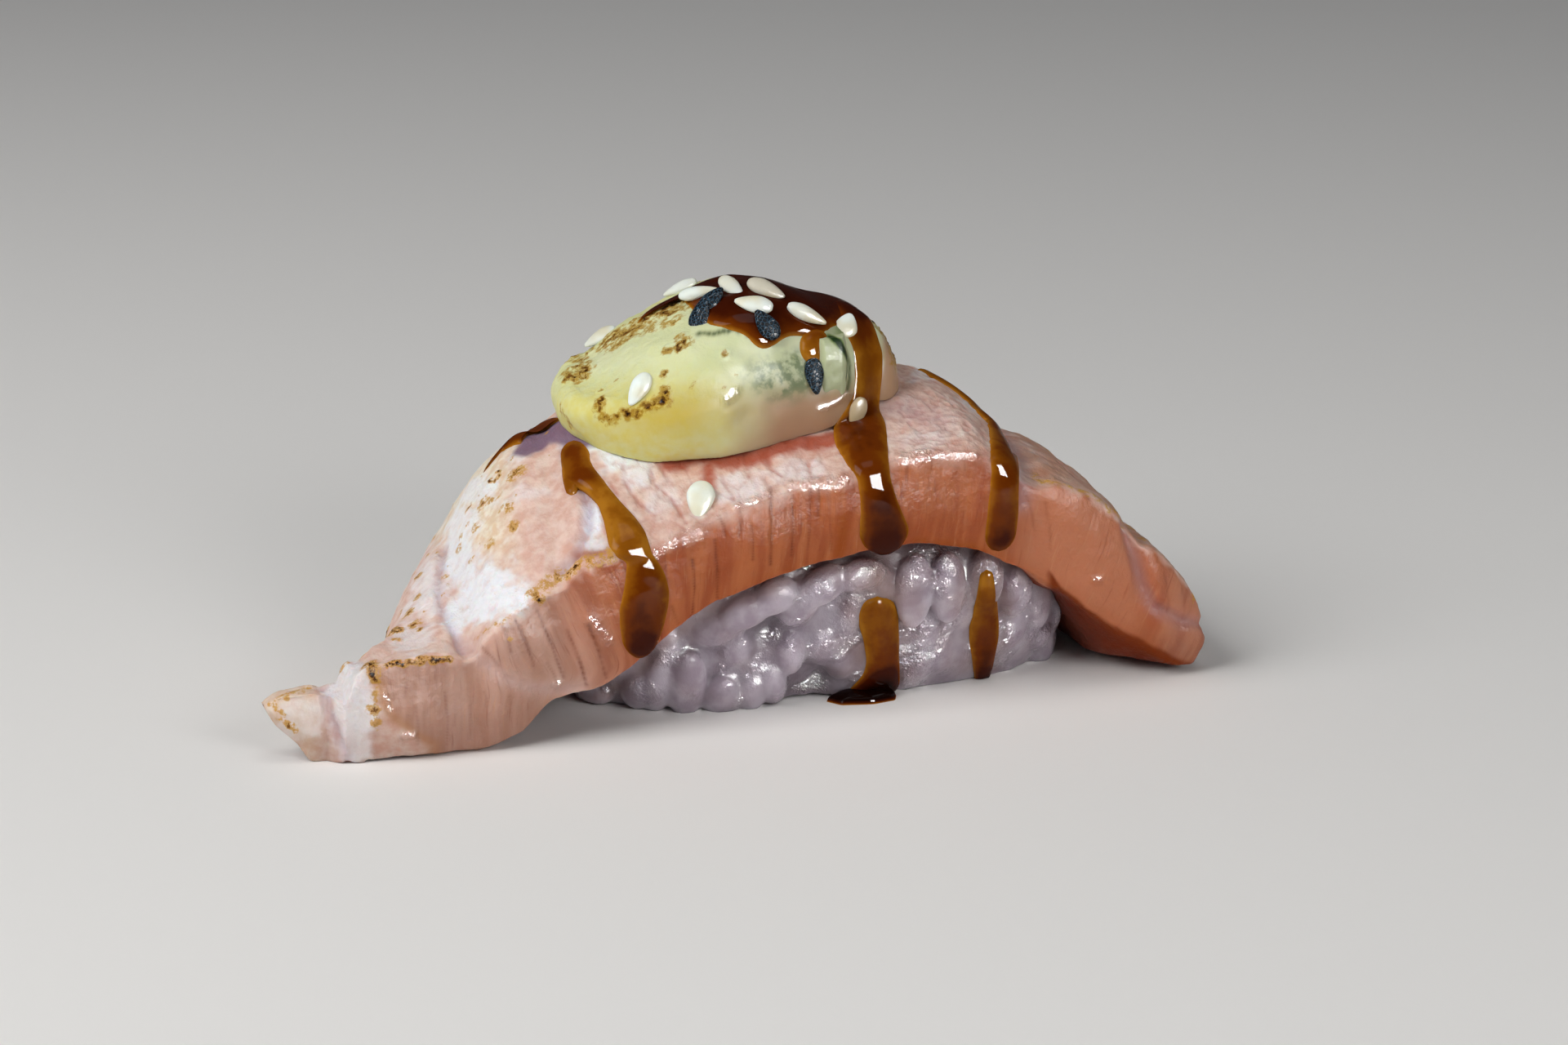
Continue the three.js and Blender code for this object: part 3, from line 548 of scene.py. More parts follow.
CRACKS_ON_TOP = [
    [(-12.2, 24.6), (-12.0, 23.1), (-10.9, 21.3), (-9.4, 19.9)],
    [(-9.8, 24.4), (-9.4, 22.7), (-7.9, 21.3), (-6.6, 19.0)],
    [(-8.7, 23.9), (-8.1, 22.8)], [(-3.6, 23.5), (-3.1, 22.1), (-2.2, 20.5)],
    [(-1.1, 23.6), (-1.0, 22.7)], [(0.8, 24.4), (1.0, 23.1), (2.0, 22.4)],
    [(4.4, 23.4), (4.7, 21.9)], [(-1.5, 25.3), (-1.1, 23.3)], [(-13.4, 23.2), (-12.6, 22.0)],
]

flat = slice_base.reshape(-1, 3)
pane_x, pane_z = on_pane(flat)
column = np.tile(np.arange(AROUND), STATIONS)
HALF_FRONT = FACES["front"] / 2
on_cut_face = 1 - ramp(np.abs(column - HALF_FRONT), HALF_FRONT - 2, HALF_FRONT + 3)
on_top = ramp(column, FACES["front"] - 3, FACES["front"] + 2) * (1 - ramp(column, AROUND - 26, AROUND - 20))

FIBRE_WIDTH = 0.15
FIBRE_SAG = 0.12
CRACK_WIDTH = 0.17
creases = sum(depth * nearness(flat, laid(slice_tree, route), width) for route, depth, width in CREASES)
# painted shade: the creases are darkened in colour as well as cut into the relief
crease_shade = np.clip(creases / 0.5, 0, 1)
worn = np.clip(0.75 + 0.5 * hills(flat, 1.6, 4), 0.2, 1)
fibre_marks = np.zeros(len(flat))
for top_x, top_z, low_x, low_z, strength in FIBRES:
    middle = ((top_x + low_x) / 2 + FIBRE_SAG, (top_z + low_z) / 2)
    line = laid(slice_tree, [(top_x, top_z), middle, (low_x, low_z)], 0.25)
    fibre_marks = np.maximum(fibre_marks, strength * worn * nearness(flat, line, FIBRE_WIDTH))
crack_marks = strokes(flat, slice_tree, [(route, CRACK_WIDTH, 1.0) for route in CRACKS_ON_TOP], 0.25)
print("strong fibres:", len(FIBRES), "creases:", len(CREASES))

# %% [markdown]
# Between the strong fibres lie fine ones, and the back of the slice has them too. They come from
# noise that is stretched from ridge to hem: narrow along the slice, long across it. The fibres
# lean with the flake they are in, so the noise is read in coordinates that lean as well.

# %% Fine fibres and the cooked skin
lean = 0.36 * ramp(flat[:, 0], -26, -22) * (1 - ramp(flat[:, 0], -13, -8)) * ramp(flat[:, 2], 4, 7)
lean = lean - 0.06 * ramp(flat[:, 0], -8, 0) - 0.2 * ramp(flat[:, 0], 22, 30)
height_on_face = flat[:, 2] - (hem_at(flat[:, 0]) + ridge_at(flat[:, 0])) / 2
across_fibres = flat[:, 0] + lean * height_on_face + 0.25 * hills(flat, 4.0, 3)
along_fibres = np.where(on_top > 0.5, flat[:, 1], flat[:, 2])
grain = np.stack([across_fibres, along_fibres, flat[:, 1] * 0.2], -1)
fine_fibres = hills(np.stack([across_fibres / 0.55, along_fibres / 7, 0 * along_fibres], -1), 1.0, 5)
fine_fibres += 0.6 * hills(np.stack([across_fibres / 0.3, along_fibres / 4, 0 * along_fibres], -1), 1.0, 6)

skin_net = cracks(flat * np.array([1, 0.75, 1]), 1.5, 2)
skin_net = 1 - ramp(skin_net, 0.0, 0.16)
wrinkled = ramp(pane_x, 11, 13) * (1 - ramp(pane_x, 20, 22.5)) * ramp(pane_z, 22.5, 24.2)
netted = 0.25 + 0.75 * ramp(flat[:, 0], -16, -11) * (1 - ramp(flat[:, 0], 9, 12))
wrinkles = hills(np.stack([flat[:, 0] * 0.9 + flat[:, 1] * 0.45, flat[:, 1] * 1.4, flat[:, 2]], -1), 1.0, 9)
wrinkles = 1 - ramp(np.abs(wrinkles), 0.0, 0.28)

# %% [markdown]
# Scorch marks are small: a spot is about half a millimetre, a char line a few tenths wide. Each
# has a yellow-brown halo and a darker heart, and the flesh there blisters into a grainy crag.

# %% Scorch marks
# place and size of each spot, then how dark it is
SPOTS = [
    (-21.3, 24.5, 0.9, 0.62), (-25.5, 21.9, 0.55, 0.7), (-24.2, 22.2, 0.7, 0.6), (-23.5, 22.2, 0.4, 0.7),
    (-21.9, 21.5, 0.5, 0.62), (-21.5, 19.7, 0.6, 0.6), (-24.8, 20.1, 0.55, 0.5), (-26.4, 18.4, 0.5, 0.5),
    (-23.6, 18.4, 0.6, 0.42), (-26.2, 19.4, 0.4, 0.5), (-30.1, 16.4, 0.5, 0.7), (-31.0, 13.2, 0.6, 0.75),
    (-30.2, 14.6, 0.5, 0.6), (-32.9, 11.7, 0.75, 0.95), (-32.2, 11.8, 0.7, 0.9), (-32.0, 11.0, 0.4, 0.6),
    (-30.5, 12.2, 0.6, 0.6), (-30.1, 11.7, 0.4, 0.6), (-16.8, 15.3, 0.45, 0.9), (-16.3, 15.9, 0.5, 0.8),
    (-17.8, 14.8, 0.4, 0.5), (-19.7, 13.4, 0.5, 0.8), (-42.9, 6.6, 0.4, 0.5), (-41.6, 6.9, 0.35, 0.4),
    (-40.4, 7.2, 0.4, 0.45), (-42.3, 5.0, 0.3, 0.4), (-41.5, 4.4, 0.4, 0.7), (-40.9, 3.8, 0.3, 0.45),
    (-37.6, 9.3, 0.6, 0.75), (-37.1, 9.0, 0.5, 0.6), (-36.4, 10.1, 0.5, 0.5), (-22.2, 10.1, 0.22, 0.6),
    (-34.2, 5.0, 0.5, 0.55), (-34.1, 3.9, 0.5, 0.5), (-28.6, 19.6, 0.4, 0.5), (-29.2, 18.2, 0.4, 0.5),
    (25.2, 20.5, 0.5, 0.35), (26.6, 22.8, 0.6, 0.4), (35.6, 13.8, 0.45, 0.5), (31.5, 17.8, 0.35, 0.3),
    (40.7, 7.8, 0.5, 0.35), (28.6, 21.0, 0.5, 0.3), (-6.9, 23.6, 0.35, 0.25), (-25.6, 20.4, 0.4, 0.4),
]
# route, width and how dark it is
SCORCHED_LINES = [
    ([(-34.7, 9.2), (-33.0, 9.0), (-31.1, 8.9), (-29.0, 8.9), (-27.6, 8.9)], 0.32, 0.55),
    ([(-34.9, 8.9), (-34.3, 9.3), (-34.1, 8.6), (-34.0, 7.8)], 0.45, 0.9),
    ([(-30.2, 9.0), (-29.0, 8.9), (-27.8, 8.9)], 0.3, 0.85),
    ([(-20.2, 13.6), (-18.0, 15.1), (-16.3, 16.1), (-13.9, 16.7), (-12.6, 16.8), (-10.8, 17.3)], 0.7, 0.36),
    ([(-25.1, 10.6), (-23.4, 11.5), (-21.7, 12.3), (-19.7, 13.9)], 0.45, 0.2),
    ([(-42.7, 6.2), (-41.9, 5.2), (-41.2, 4.4)], 0.3, 0.45),
    ([(-42.4, 6.9), (-39.6, 7.6), (-38.2, 8.4), (-36.0, 9.6), (-34.8, 10.2)], 0.35, 0.26),
    ([(-33.9, 7.8), (-34.1, 6.0), (-34.0, 3.4)], 0.4, 0.28),
    ([(25.6, 19.9), (28.0, 19.5), (30.8, 18.2), (33.3, 16.1), (34.4, 14.9)], 0.5, 0.25),
]
RING_SPOT = (-23.2, 24.4, 0.62)  # place and radius of a blister that burnt at its edge only
RING_WIDTH = 0.13


def scorch(points, tree, spots, lines, seed):
    """How deeply each point is scorched, from 0 to 1."""
    total = np.zeros(len(points))
    warped = points + 0.22 * np.stack([hills(points, 0.7, seed + k) for k in range(3)], -1)
    for x, z, size, dark in spots:
        hit = seen_at(tree, x, z)
        if hit:
            total = np.maximum(total, dark * nearness(warped, hit[0][None], size))
    broken = 1 + 0.9 * rough_hills(points, 0.8, seed + 4, 3)
    for route, width, dark in lines:
        line = nearness(warped, laid(tree, route, 0.25), width)
        total = np.maximum(total, np.clip(dark * line * broken, 0, 1))
    return total


scorched = scorch(flat, slice_tree, SPOTS, SCORCHED_LINES, 20)
ring_place = seen_at(slice_tree, *RING_SPOT[:2])[0]
ring_away = np.linalg.norm(flat - ring_place, axis=1)
ring = np.exp(-((ring_away - RING_SPOT[2]) / RING_WIDTH) ** 2) * (0.7 + hills(flat, 0.8, 31))
scorched = np.maximum(scorched, 0.95 * ring)
speckle_zone = ramp(flat[:, 1], -9, -4) * (1 - ramp(flat[:, 0], 6, 10)) * on_top
left_shoulder = ramp(-flat[:, 0], 22, 26) * on_top * ramp(flat[:, 2], 8.0, 10.0)
speckles = ramp(rough_hills(flat, 1.1, 41, 2), 0.5, 0.9)
speckles = speckles * np.clip(0.3 * left_shoulder + 0.6 * speckle_zone, 0, 1)
scorched = np.clip(np.maximum(scorched, 0.45 * speckles), 0, 1)
print("scorched points on the slice:", int((scorched > 0.3).sum()), "of", len(flat))

# %% [markdown]
# Now everything becomes depth along the surface normal. The normal comes from the grid itself:
# the cross product of the direction along the slice and the direction round it.

# %% Relief of the slice
def grid_normals(grid):
    along = np.gradient(grid, axis=0)
    around = np.roll(grid, -1, 1) - np.roll(grid, 1, 1)
    normals = np.cross(around, along)
    normals /= np.linalg.norm(normals, axis=2, keepdims=True) + 1e-9
    return normals


slice_normals = grid_normals(slice_base).reshape(-1, 3)
slice_normals *= np.sign((slice_normals * (flat - np.array([0, 0, 9.0]))).sum())
swollen_flake = nearness(flat, laid(slice_tree, [(-22.5, 21.0), (-20.5, 18.0)]), 6.0)
fat_wedge = nearness(flat, laid(slice_tree, [(-15.6, 22.6), (-14.9, 20.6), (-14.4, 17.6)], 0.3), 1.0)

# route, width and strength of each line of fat droplets
WET_LINES = [
    ([(-9.6, 16.3), (-8.6, 16.9), (-7.5, 17.6)], 0.7, 0.9), ([(-7.2, 17.6), (-5.6, 18.2)], 0.9, 1.0),
    ([(-4.6, 19.2), (-3.6, 19.6)], 0.4, 0.4), ([(-2.0, 20.1), (0.8, 20.9)], 0.6, 0.8),
    ([(2.6, 21.3), (2.8, 21.8)], 0.4, 0.9), ([(4.0, 21.5), (6.9, 21.5)], 0.9, 1.0),
    ([(7.4, 21.7), (7.7, 21.8)], 0.5, 1.0), ([(12.8, 23.1), (15.2, 23.2)], 0.8, 1.0),
    ([(15.8, 23.2), (19.6, 22.8)], 0.7, 0.7), ([(-15.2, 11.0), (-14.3, 9.9), (-13.5, 9.0)], 0.6, 0.9),
    ([(-18.3, 5.5), (-18.1, 5.6)], 0.5, 1.0), ([(-31.7, 2.4), (-30.9, 2.4)], 0.4, 1.0),
    ([(0.4, 25.5), (1.9, 25.5)], 0.3, 0.8), ([(25.7, 20.1), (27.0, 20.0)], 0.6, 0.4),
    ([(-33.2, 6.2), (-32.7, 4.5)], 0.5, 0.6), ([(31.2, 10.4), (31.7, 10.3)], 0.4, 0.7),
]
wet = strokes(flat, slice_tree, WET_LINES, 0.2)

relief = (
    -creases
    - 0.12 * fibre_marks - 0.12 * crack_marks * on_top
    + 0.03 * fine_fibres * on_cut_face
    - 0.07 * skin_net * on_top * (1 - wrinkled) * netted
    - 0.14 * wrinkles * wrinkled
    + 0.5 * swollen_flake * on_top
    - 0.3 * fat_wedge
    + 0.12 * wet
    + 0.10 * rough_hills(flat, 2.2, 50) + 0.04 * rough_hills(flat, 0.7, 55) * on_top
    + scorched * (0.06 + 0.2 * np.abs(rough_hills(flat, 0.5, 60, 2)))
)
salmon_grid = (flat + slice_normals * relief[:, None]).reshape(slice_base.shape)
salmon_grid[:, :, 2] = np.maximum(salmon_grid[:, :, 2], 0.0)
print("relief from", relief.min().round(2), "to", relief.max().round(2), "mm")

# %% [markdown]
# ## The slice of salmon: its colours
#
# Cooked salmon goes from translucent orange to an opaque pale pink, and the torch whitens it
# where its juices have set. The cut face keeps most of the orange. Each zone is a mark on the
# mesh, from 0 to 1, and the material mixes its colours by these marks.

# %% Zones of colour
# place, reach along and up, and strength of each whitened zone
WHITE_ZONES = [
    (-24.4, 14.4, 3.2, 3.2, 1.0), (-22.2, 13.6, 2.4, 1.9, 1.0), (-26.4, 17.4, 2.0, 3.0, 0.9),
    (-26.2, 20.6, 1.8, 2.4, 0.8), (-25.0, 23.4, 2.2, 1.6, 0.75), (-27.0, 12.4, 1.2, 2.0, 0.95),
    (-29.4, 15.4, 1.4, 3.4, 0.6), (-30.8, 11.0, 2.2, 1.6, 0.45), (-36.2, 7.4, 2.4, 3.0, 0.85),
    (-36.0, 4.6, 2.4, 2.8, 0.8), (-35.9, 2.0, 1.7, 2.0, 0.7), (-36.9, 9.2, 1.4, 1.2, 0.8),
    (-40.6, 5.2, 2.6, 2.4, 0.4), (-15.0, 20.2, 0.9, 2.3, 1.0), (-14.8, 17.9, 1.3, 0.8, 0.8),
    (-12.8, 25.3, 1.9, 1.6, 1.0), (-10.9, 23.8, 1.8, 1.6, 0.75), (-14.6, 26.6, 1.2, 1.0, 0.9),
    (-8.6, 21.4, 1.8, 1.8, 0.4), (-1.6, 21.8, 2.6, 1.5, 0.5), (3.4, 22.8, 3.0, 1.2, 0.45),
    (15.0, 24.6, 3.2, 1.0, 0.3),
]
# height, and where the cut face begins at the left end
END_FACE_EDGE = np.array([(1.3, -28.8), (2.6, -30.4), (4.0, -32.1), (5.6, -33.1), (7.2, -33.5), (8.7, -33.9)])


def zone(rows, seed):
    total = np.zeros(len(flat))
    edge = 0.35 * rough_hills(flat, 1.3, seed, 3)
    for x, z, reach_x, reach_z, strength in rows:
        away = np.hypot((pane_x - x) / reach_x, (pane_z - z) / reach_z) + edge
        total = np.maximum(total, strength * (1 - ramp(away, 0.55, 1.15)))
    return total


faces_guest = ramp(-(slice_normals * (flat - np.array(EYE)) / LOOK_TO).sum(1), 0.02, 0.12)
white_clouds = ramp(rough_hills(flat, 3.5, 75), 0.15, 0.7) * on_top * ramp(flat[:, 1], -8, -3)
whitened = np.maximum(zone(WHITE_ZONES, 70) * faces_guest, 0.55 * white_clouds)
past_end_face = flat[:, 0] - np.interp(flat[:, 2], END_FACE_EDGE[:, 0], END_FACE_EDGE[:, 1])
ridge_wander = column + 3.0 * hills(flat, 2.6, 77) + 3.0 * hills(flat, 0.9, 78)
rolled_edge = 3.0 * ramp(flat[:, 0], -12, -6) * (1 - ramp(flat[:, 0], 21, 25))
below_ridge = 1 - ramp(ridge_wander, FACES["front"] - 5 - 2.5 * rolled_edge, FACES["front"] + 2 + rolled_edge)
cut_side = np.maximum(below_ridge, ramp(column, AROUND - 6, AROUND - 2))
fleshy = cut_side * ramp(past_end_face, -0.9, 0.3)
end_rim = np.exp(-((past_end_face + 0.3) / 0.7) ** 2) * on_cut_face
pale_flesh = 1 - ramp(flat[:, 0] + 0.5 * flat[:, 2], -16, -5)
pale_flesh = np.maximum(pale_flesh, 0.3 * ramp(flat[:, 0], 36, 40))

# raw juice that runs out under the cream, then painted lilac-grey shade along the creases and in
# one wider patch, and a grey membrane
RED_FILM = [
    (-7.8, 24.5), (-5.7, 24.7), (-3.9, 24.6), (-1.8, 24.3), (0.0, 24.4), (0.9, 24.9), (3.3, 25.2),
    (6.6, 25.4),
]
raw_red = np.maximum(
    ramp(nearness(flat, laid(slice_tree, RED_FILM), 1.3) + 0.25 * hills(flat, 1.2, 84), 0.1, 0.75),
    nearness(flat, laid(slice_tree, [(-4.6, 24.7), (-4.5, 23.6), (-4.6, 22.3)]), 0.7),
)
raw_red = np.maximum(raw_red, 0.6 * crack_marks)
LILAC_SHADE_LINES = [
    (CREASES[0][0], 0.5, 0.6), (CREASES[1][0], 0.6, 0.6), (CREASES[3][0], 0.6, 0.4),
    (CREASES[4][0], 0.7, 0.2), (CREASES[5][0], 1.0, 0.4), (CREASES[6][0], 0.8, 0.2),
    ([(13.0, 27.6), (16.0, 26.4)], 2.2, 0.35),
]
MEMBRANE = [(-20.0, 26.9), (-19.0, 28.0), (-17.6, 28.4), (-16.2, 28.0), (-15.4, 27.2)]
lilac_shade = strokes(flat, slice_tree, LILAC_SHADE_LINES)
membrane = ramp(nearness(flat, laid(slice_tree, MEMBRANE), 1.7) + 0.15 * hills(flat, 1.4, 83), 0.15, 0.5)
pale_fold = nearness(flat, laid(slice_tree, CREASES[2][0]), 0.9)
buttery = ramp(-pane_x, 20, 24) * ramp(pane_z + 0.5 * pane_x, 3.0, 8.0) * on_top
buttery = np.maximum(buttery, 0.6 * ramp(-pane_x, 38, 40))
left_end = ramp(-pane_x, 33.0, 35.5)
# painted shade: the flesh is darkened towards the board, less where it is whitened, and not on the underside
board_shade = (1 - ramp(flat[:, 2], 0.5, 6.5)) * (1 - 0.8 * whitened)
board_shade = board_shade * (1 - ramp(column, AROUND - 22, AROUND - 16))
AMBER_LINES = [
    ([(7.6, 18.2), (7.5, 16.2), (7.2, 14.9)], 0.8, 1.0),
    ([(14.5, 15.0), (17.0, 14.4), (19.1, 13.9), (21.4, 13.2)], 0.8, 1.0),
    ([(-16.2, 17.0), (-14.8, 17.0), (-13.0, 17.1)], 0.6, 1.0),
]
amber = strokes(flat, slice_tree, AMBER_LINES)
orange = ramp(flat[:, 0], 21, 26) * (1 - ramp(flat[:, 0], 34, 38)) * fleshy
tanned = ramp(flat[:, 0] + 0.8 * hills(flat, 2.5, 86), 23.5, 27.5) * on_top
tanned = tanned * (1 - 0.5 * ramp(hills(flat, 2.0, 87), 0.0, 0.6))
hem_stain = np.exp(-((pane_z - hem_at(pane_x) - 0.2) / 1.1) ** 2) * on_cut_face * ramp(pane_x, -8, 2)
amber = np.maximum(amber, 0.4 * hem_stain)
# painted shade: the underside of the slice is painted a dark orange
underside_shade = ramp(column, AROUND - FACES["under"] - 4, AROUND - FACES["under"] + 2)
# where the hanging end turns its underside to the guest; below this edge the same painted shade is laid
UNDERSIDE_EDGE = np.array([(26.8, 11.6), (28.0, 10.0), (32.0, 6.6), (35.9, 4.3), (39.1, 2.4), (41.6, 1.0)])
below_edge = np.interp(pane_x, *UNDERSIDE_EDGE.T) - pane_z + 0.15 * hills(flat, 1.5, 85)
underside_shade = np.maximum(underside_shade, ramp(below_edge, -0.3, 0.25) * ramp(pane_x, 26.3, 27.2))

salmon_points, salmon_faces = closed_skin(salmon_grid)
salmon_marks = {
    "fleshy": fleshy, "whitened": whitened * (1 - 0.7 * fleshy), "fibre": np.clip(fibre_marks, 0, 1),
    "crease": crease_shade, "lilac_shade": lilac_shade, "pale_fold": pale_fold, "raw_red": raw_red, "amber": amber,
    "scorched": scorched, "orange": orange, "end_rim": end_rim, "pale_flesh": pale_flesh,
    "membrane": membrane, "buttery": buttery, "wet": wet, "left_end": left_end, "board_shade": board_shade,
    "wrinkle": np.maximum(wrinkles * wrinkled, 0.6 * skin_net * on_top * netted), "underside_shade": underside_shade,
    "tanned": tanned,
}
shape = slice_base.shape[:2]
salmon = make_piece(
    "seared_salmon", salmon_points, salmon_faces,
    {name: with_ends(values.reshape(shape)) for name, values in salmon_marks.items()},
    {"grain": np.concatenate([grain, grain[:1], grain[-1:]])},
)

# %% [markdown]
# ## The finish of seared salmon
#
# The real surface is moist muscle: light enters it and comes out a millimetre away, redder than
# it went in, which is subsurface scattering. Rendered fat stands in beads along its ridge, and
# only there a clear coat gives tight highlights. The colours are laid over each other in the
# order in which they happened to the fish: flesh, whitening, stains, then scorching on top.
# Painted shade lies among the stains: darker near the board, lilac-grey in the creases and dark
# orange on the underside.

# %% Helpers for materials
def new_material(name):
    material = bpy.data.materials.new(name)
    material.use_nodes = True
    tree = material.node_tree
    tree.nodes.clear()
    return material, tree


def mark_of(tree, name):
    return add(tree, "ShaderNodeAttribute", {"attribute_name": name}).outputs["Fac"]


def mixed(tree, share, first, second):
    return add(tree, "ShaderNodeMix", {"data_type": "RGBA"}, {0: share, 6: first, 7: second}).outputs[2]


def times(tree, first, second):
    return add(tree, "ShaderNodeMath", {"operation": "MULTIPLY"}, {0: first, 1: second}).outputs[0]


def noise(tree, vector, per_mm, detail, rough=0.55):
    """Noise with `per_mm` bumps to a millimetre, read at metre coordinates."""
    return add(tree, "ShaderNodeTexNoise", None, {
        "Vector": vector, "Scale": per_mm / MM, "Detail": detail, "Roughness": rough}).outputs["Fac"]


def remapped(tree, value, low, high, to_low=0.0, to_high=1.0):
    return add(tree, "ShaderNodeMapRange", {"interpolation_type": "SMOOTHSTEP"}, {
        "Value": value, "From Min": low, "From Max": high, "To Min": to_low, "To Max": to_high}).outputs[0]


def faint(tree, name, most):
    """A mark at no more than `most` of its strength."""
    return times(tree, mark_of(tree, name), most)


def speckled(tree, mark, place, per_mm, least, most):
    """Breaks a mark up into grains, as a torch does."""
    grains = remapped(tree, noise(tree, place, per_mm, 4, 0.7), 0.35, 0.65, least, most)
    return times(tree, mark, grains)


def painted(tree, base, layers):
    """Lays colours over the base, each by its share."""
    for share, hex_code in layers:
        base = mixed(tree, share, base, colour(hex_code))
    return base


def finish_material(tree, base, shader_values, bump_layers, roughness=None):
    """The shader with its base colour, its fixed values and a chain of bumps (height, depth in mm)."""
    normal = None
    for height, depth in bump_layers:
        inputs = {"Height": height, "Distance": depth * MM, "Strength": 1.0}
        if normal:
            inputs["Normal"] = normal
        normal = add(tree, "ShaderNodeBump", None, inputs).outputs["Normal"]
    shader = add(tree, "ShaderNodeBsdfPrincipled", None, {"Base Color": base, **shader_values})
    if normal:
        tree.links.new(normal, shader.inputs["Normal"])
        tree.links.new(normal, shader.inputs["Coat Normal"])
    if roughness:
        tree.links.new(roughness, shader.inputs["Roughness"])
    add(tree, "ShaderNodeOutputMaterial", None, {"Surface": shader.outputs["BSDF"]})

# %% Salmon material
THREAD_WIDTH = 0.42
THREAD_LENGTH = 5.5
salmon_finish, tree = new_material("moist_seared_salmon")
place = add(tree, "ShaderNodeTexCoord").outputs["Object"]
mottling = noise(tree, place, 0.9, 4)
grit = noise(tree, place, 3.2, 3)

fibre_place = add(tree, "ShaderNodeAttribute", {"attribute_name": "grain"}).outputs["Vector"]
lines = add(tree, "ShaderNodeVectorMath", {"operation": "MULTIPLY"}, {
    0: fibre_place, 1: (1 / THREAD_WIDTH, 1 / THREAD_LENGTH, 0)}).outputs[0]
threads = add(tree, "ShaderNodeTexNoise", None, {
    "Vector": lines, "Scale": 1.0, "Detail": 3.0, "Roughness": 0.6}).outputs["Fac"]
wide = add(tree, "ShaderNodeVectorMath", {"operation": "MULTIPLY"}, {0: lines, 1: (0.3, 0.6, 0)}).outputs[0]
bands = add(tree, "ShaderNodeTexNoise", None, {"Vector": wide, "Scale": 1.0, "Detail": 2.0}).outputs["Fac"]
flesh = mixed(tree, remapped(tree, bands, 0.35, 0.65), colour("#b66a42"), colour("#a15432"))
flesh = mixed(tree, mark_of(tree, "pale_flesh"), flesh, mixed(
    tree, remapped(tree, bands, 0.35, 0.65), colour("#c39b8a"), colour("#b18673")))
flesh = painted(tree, flesh, [
    (mark_of(tree, "orange"), "#bc7757"),
    (remapped(tree, threads, 0.58, 0.74, 0, 0.4), "#7a3420"),
    (remapped(tree, threads, 0.42, 0.25, 0, 0.3), "#d0996f"),
])
cooked = mixed(tree, remapped(tree, mottling, 0.3, 0.7), colour("#d4ab9b"), colour("#e4cabd"))
cooked = mixed(tree, mark_of(tree, "buttery"), cooked, mixed(
    tree, remapped(tree, mottling, 0.35, 0.65), colour("#e3c9a8"), colour("#f0e6d2")))
cooked = mixed(tree, remapped(tree, threads, 0.66, 0.85, 0, 0.25), cooked, colour("#b98a80"))
base = mixed(tree, mark_of(tree, "fleshy"), cooked, flesh)
white_share = times(tree, mark_of(tree, "whitened"), remapped(tree, mottling, 0.25, 0.5, 0.7, 1.0))
char = speckled(tree, mark_of(tree, "scorched"), place, 2.3, 0.25, 1.65)
base = painted(tree, base, [
    (white_share, "#efeff2"),
    (faint(tree, "pale_fold", 0.5), "#cfb0a6"),
    (faint(tree, "left_end", 0.2), "#a58f88"),
    (faint(tree, "end_rim", 0.6), "#b98252"),
    (faint(tree, "wrinkle", 0.45), "#a86455"),
    (faint(tree, "tanned", 0.7), "#ad7452"),
    # painted shade near the board
    (faint(tree, "board_shade", 0.42), "#7c5648"),
    (faint(tree, "raw_red", 0.85), "#a03a12"),
    # painted lilac-grey shade along the creases
    (faint(tree, "lilac_shade", 0.6), "#b3a3b8"),
    (faint(tree, "membrane", 0.9), "#735a74"),
    # painted shade in the creases
    (faint(tree, "crease", 0.2), "#a08088"),
    (faint(tree, "fibre", 0.8), "#6a2a16"),
    # painted shade on the underside
    (faint(tree, "underside_shade", 0.95), "#682206"),
    (faint(tree, "amber", 0.7), "#964812"),
    (remapped(tree, char, 0.08, 0.34, 0, 0.85), "#c1913a"),
    (remapped(tree, char, 0.46, 0.78, 0, 0.9), "#6b3c12"),
    (remapped(tree, char, 0.85, 1.1), "#241106"),
])
dullness = remapped(tree, mottling, 0.3, 0.7, 0.34, 0.5)
droplets = times(tree, noise(tree, place, 1.5, 3, 0.65), mark_of(tree, "wet"))
wet_film = remapped(tree, droplets, 0.17, 0.29, 0.0, 1.0)
pebbles = times(tree, noise(tree, place, 1.3, 3, 0.6), mark_of(tree, "whitened"))
finish_material(tree, base, {
    "Subsurface Weight": 0.35, "Subsurface Radius": (1.0, 0.42, 0.25), "Subsurface Scale": 1.6 * MM,
    "IOR": 1.42, "Specular IOR Level": 0.05, "Coat Weight": wet_film, "Coat Roughness": 0.03, "Coat IOR": 1.5,
}, [(mottling, 0.12), (grit, 0.06), (threads, 0.05), (pebbles, 0.3), (droplets, 0.5)], dullness)
salmon.data.materials.append(salmon_finish)
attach(salmon, "root")
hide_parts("salmon")

# %% [markdown]
# ## The ball of rice: its grains
#
# A ball of pressed rice is some three hundred grains stuck together. Modelling the inside would
# be a waste, so a smooth core takes its place and the outer grains are scattered over it. The
# scattering is a rule that repeats, which is what Geometry Nodes are for: a tree puts one grain
# on each point, turned and sized as the point says, and makes the copies real at its end.

# %% Core of the ball
RICE_X = 9.2
RICE_HALF_LENGTH = 21.6
RICE_HALF_WIDTH = 9.4
RICE_HEIGHT = 17.2
WIDEST_AT = 0.42
FOOT_INSET = 0.09
SQUARENESS = 2.8
FRONT_FILL = 1.3


def rice_shrink(height):
    t = height / RICE_HEIGHT
    low = 1 - FOOT_INSET * np.clip(1 - t / WIDEST_AT, 0, 1) ** 2
    high = np.sqrt(1 - 0.92 * np.clip((t - WIDEST_AT) / (1 - WIDEST_AT), 0, 1) ** 2.6)
    return np.where(t < WIDEST_AT, low, high)


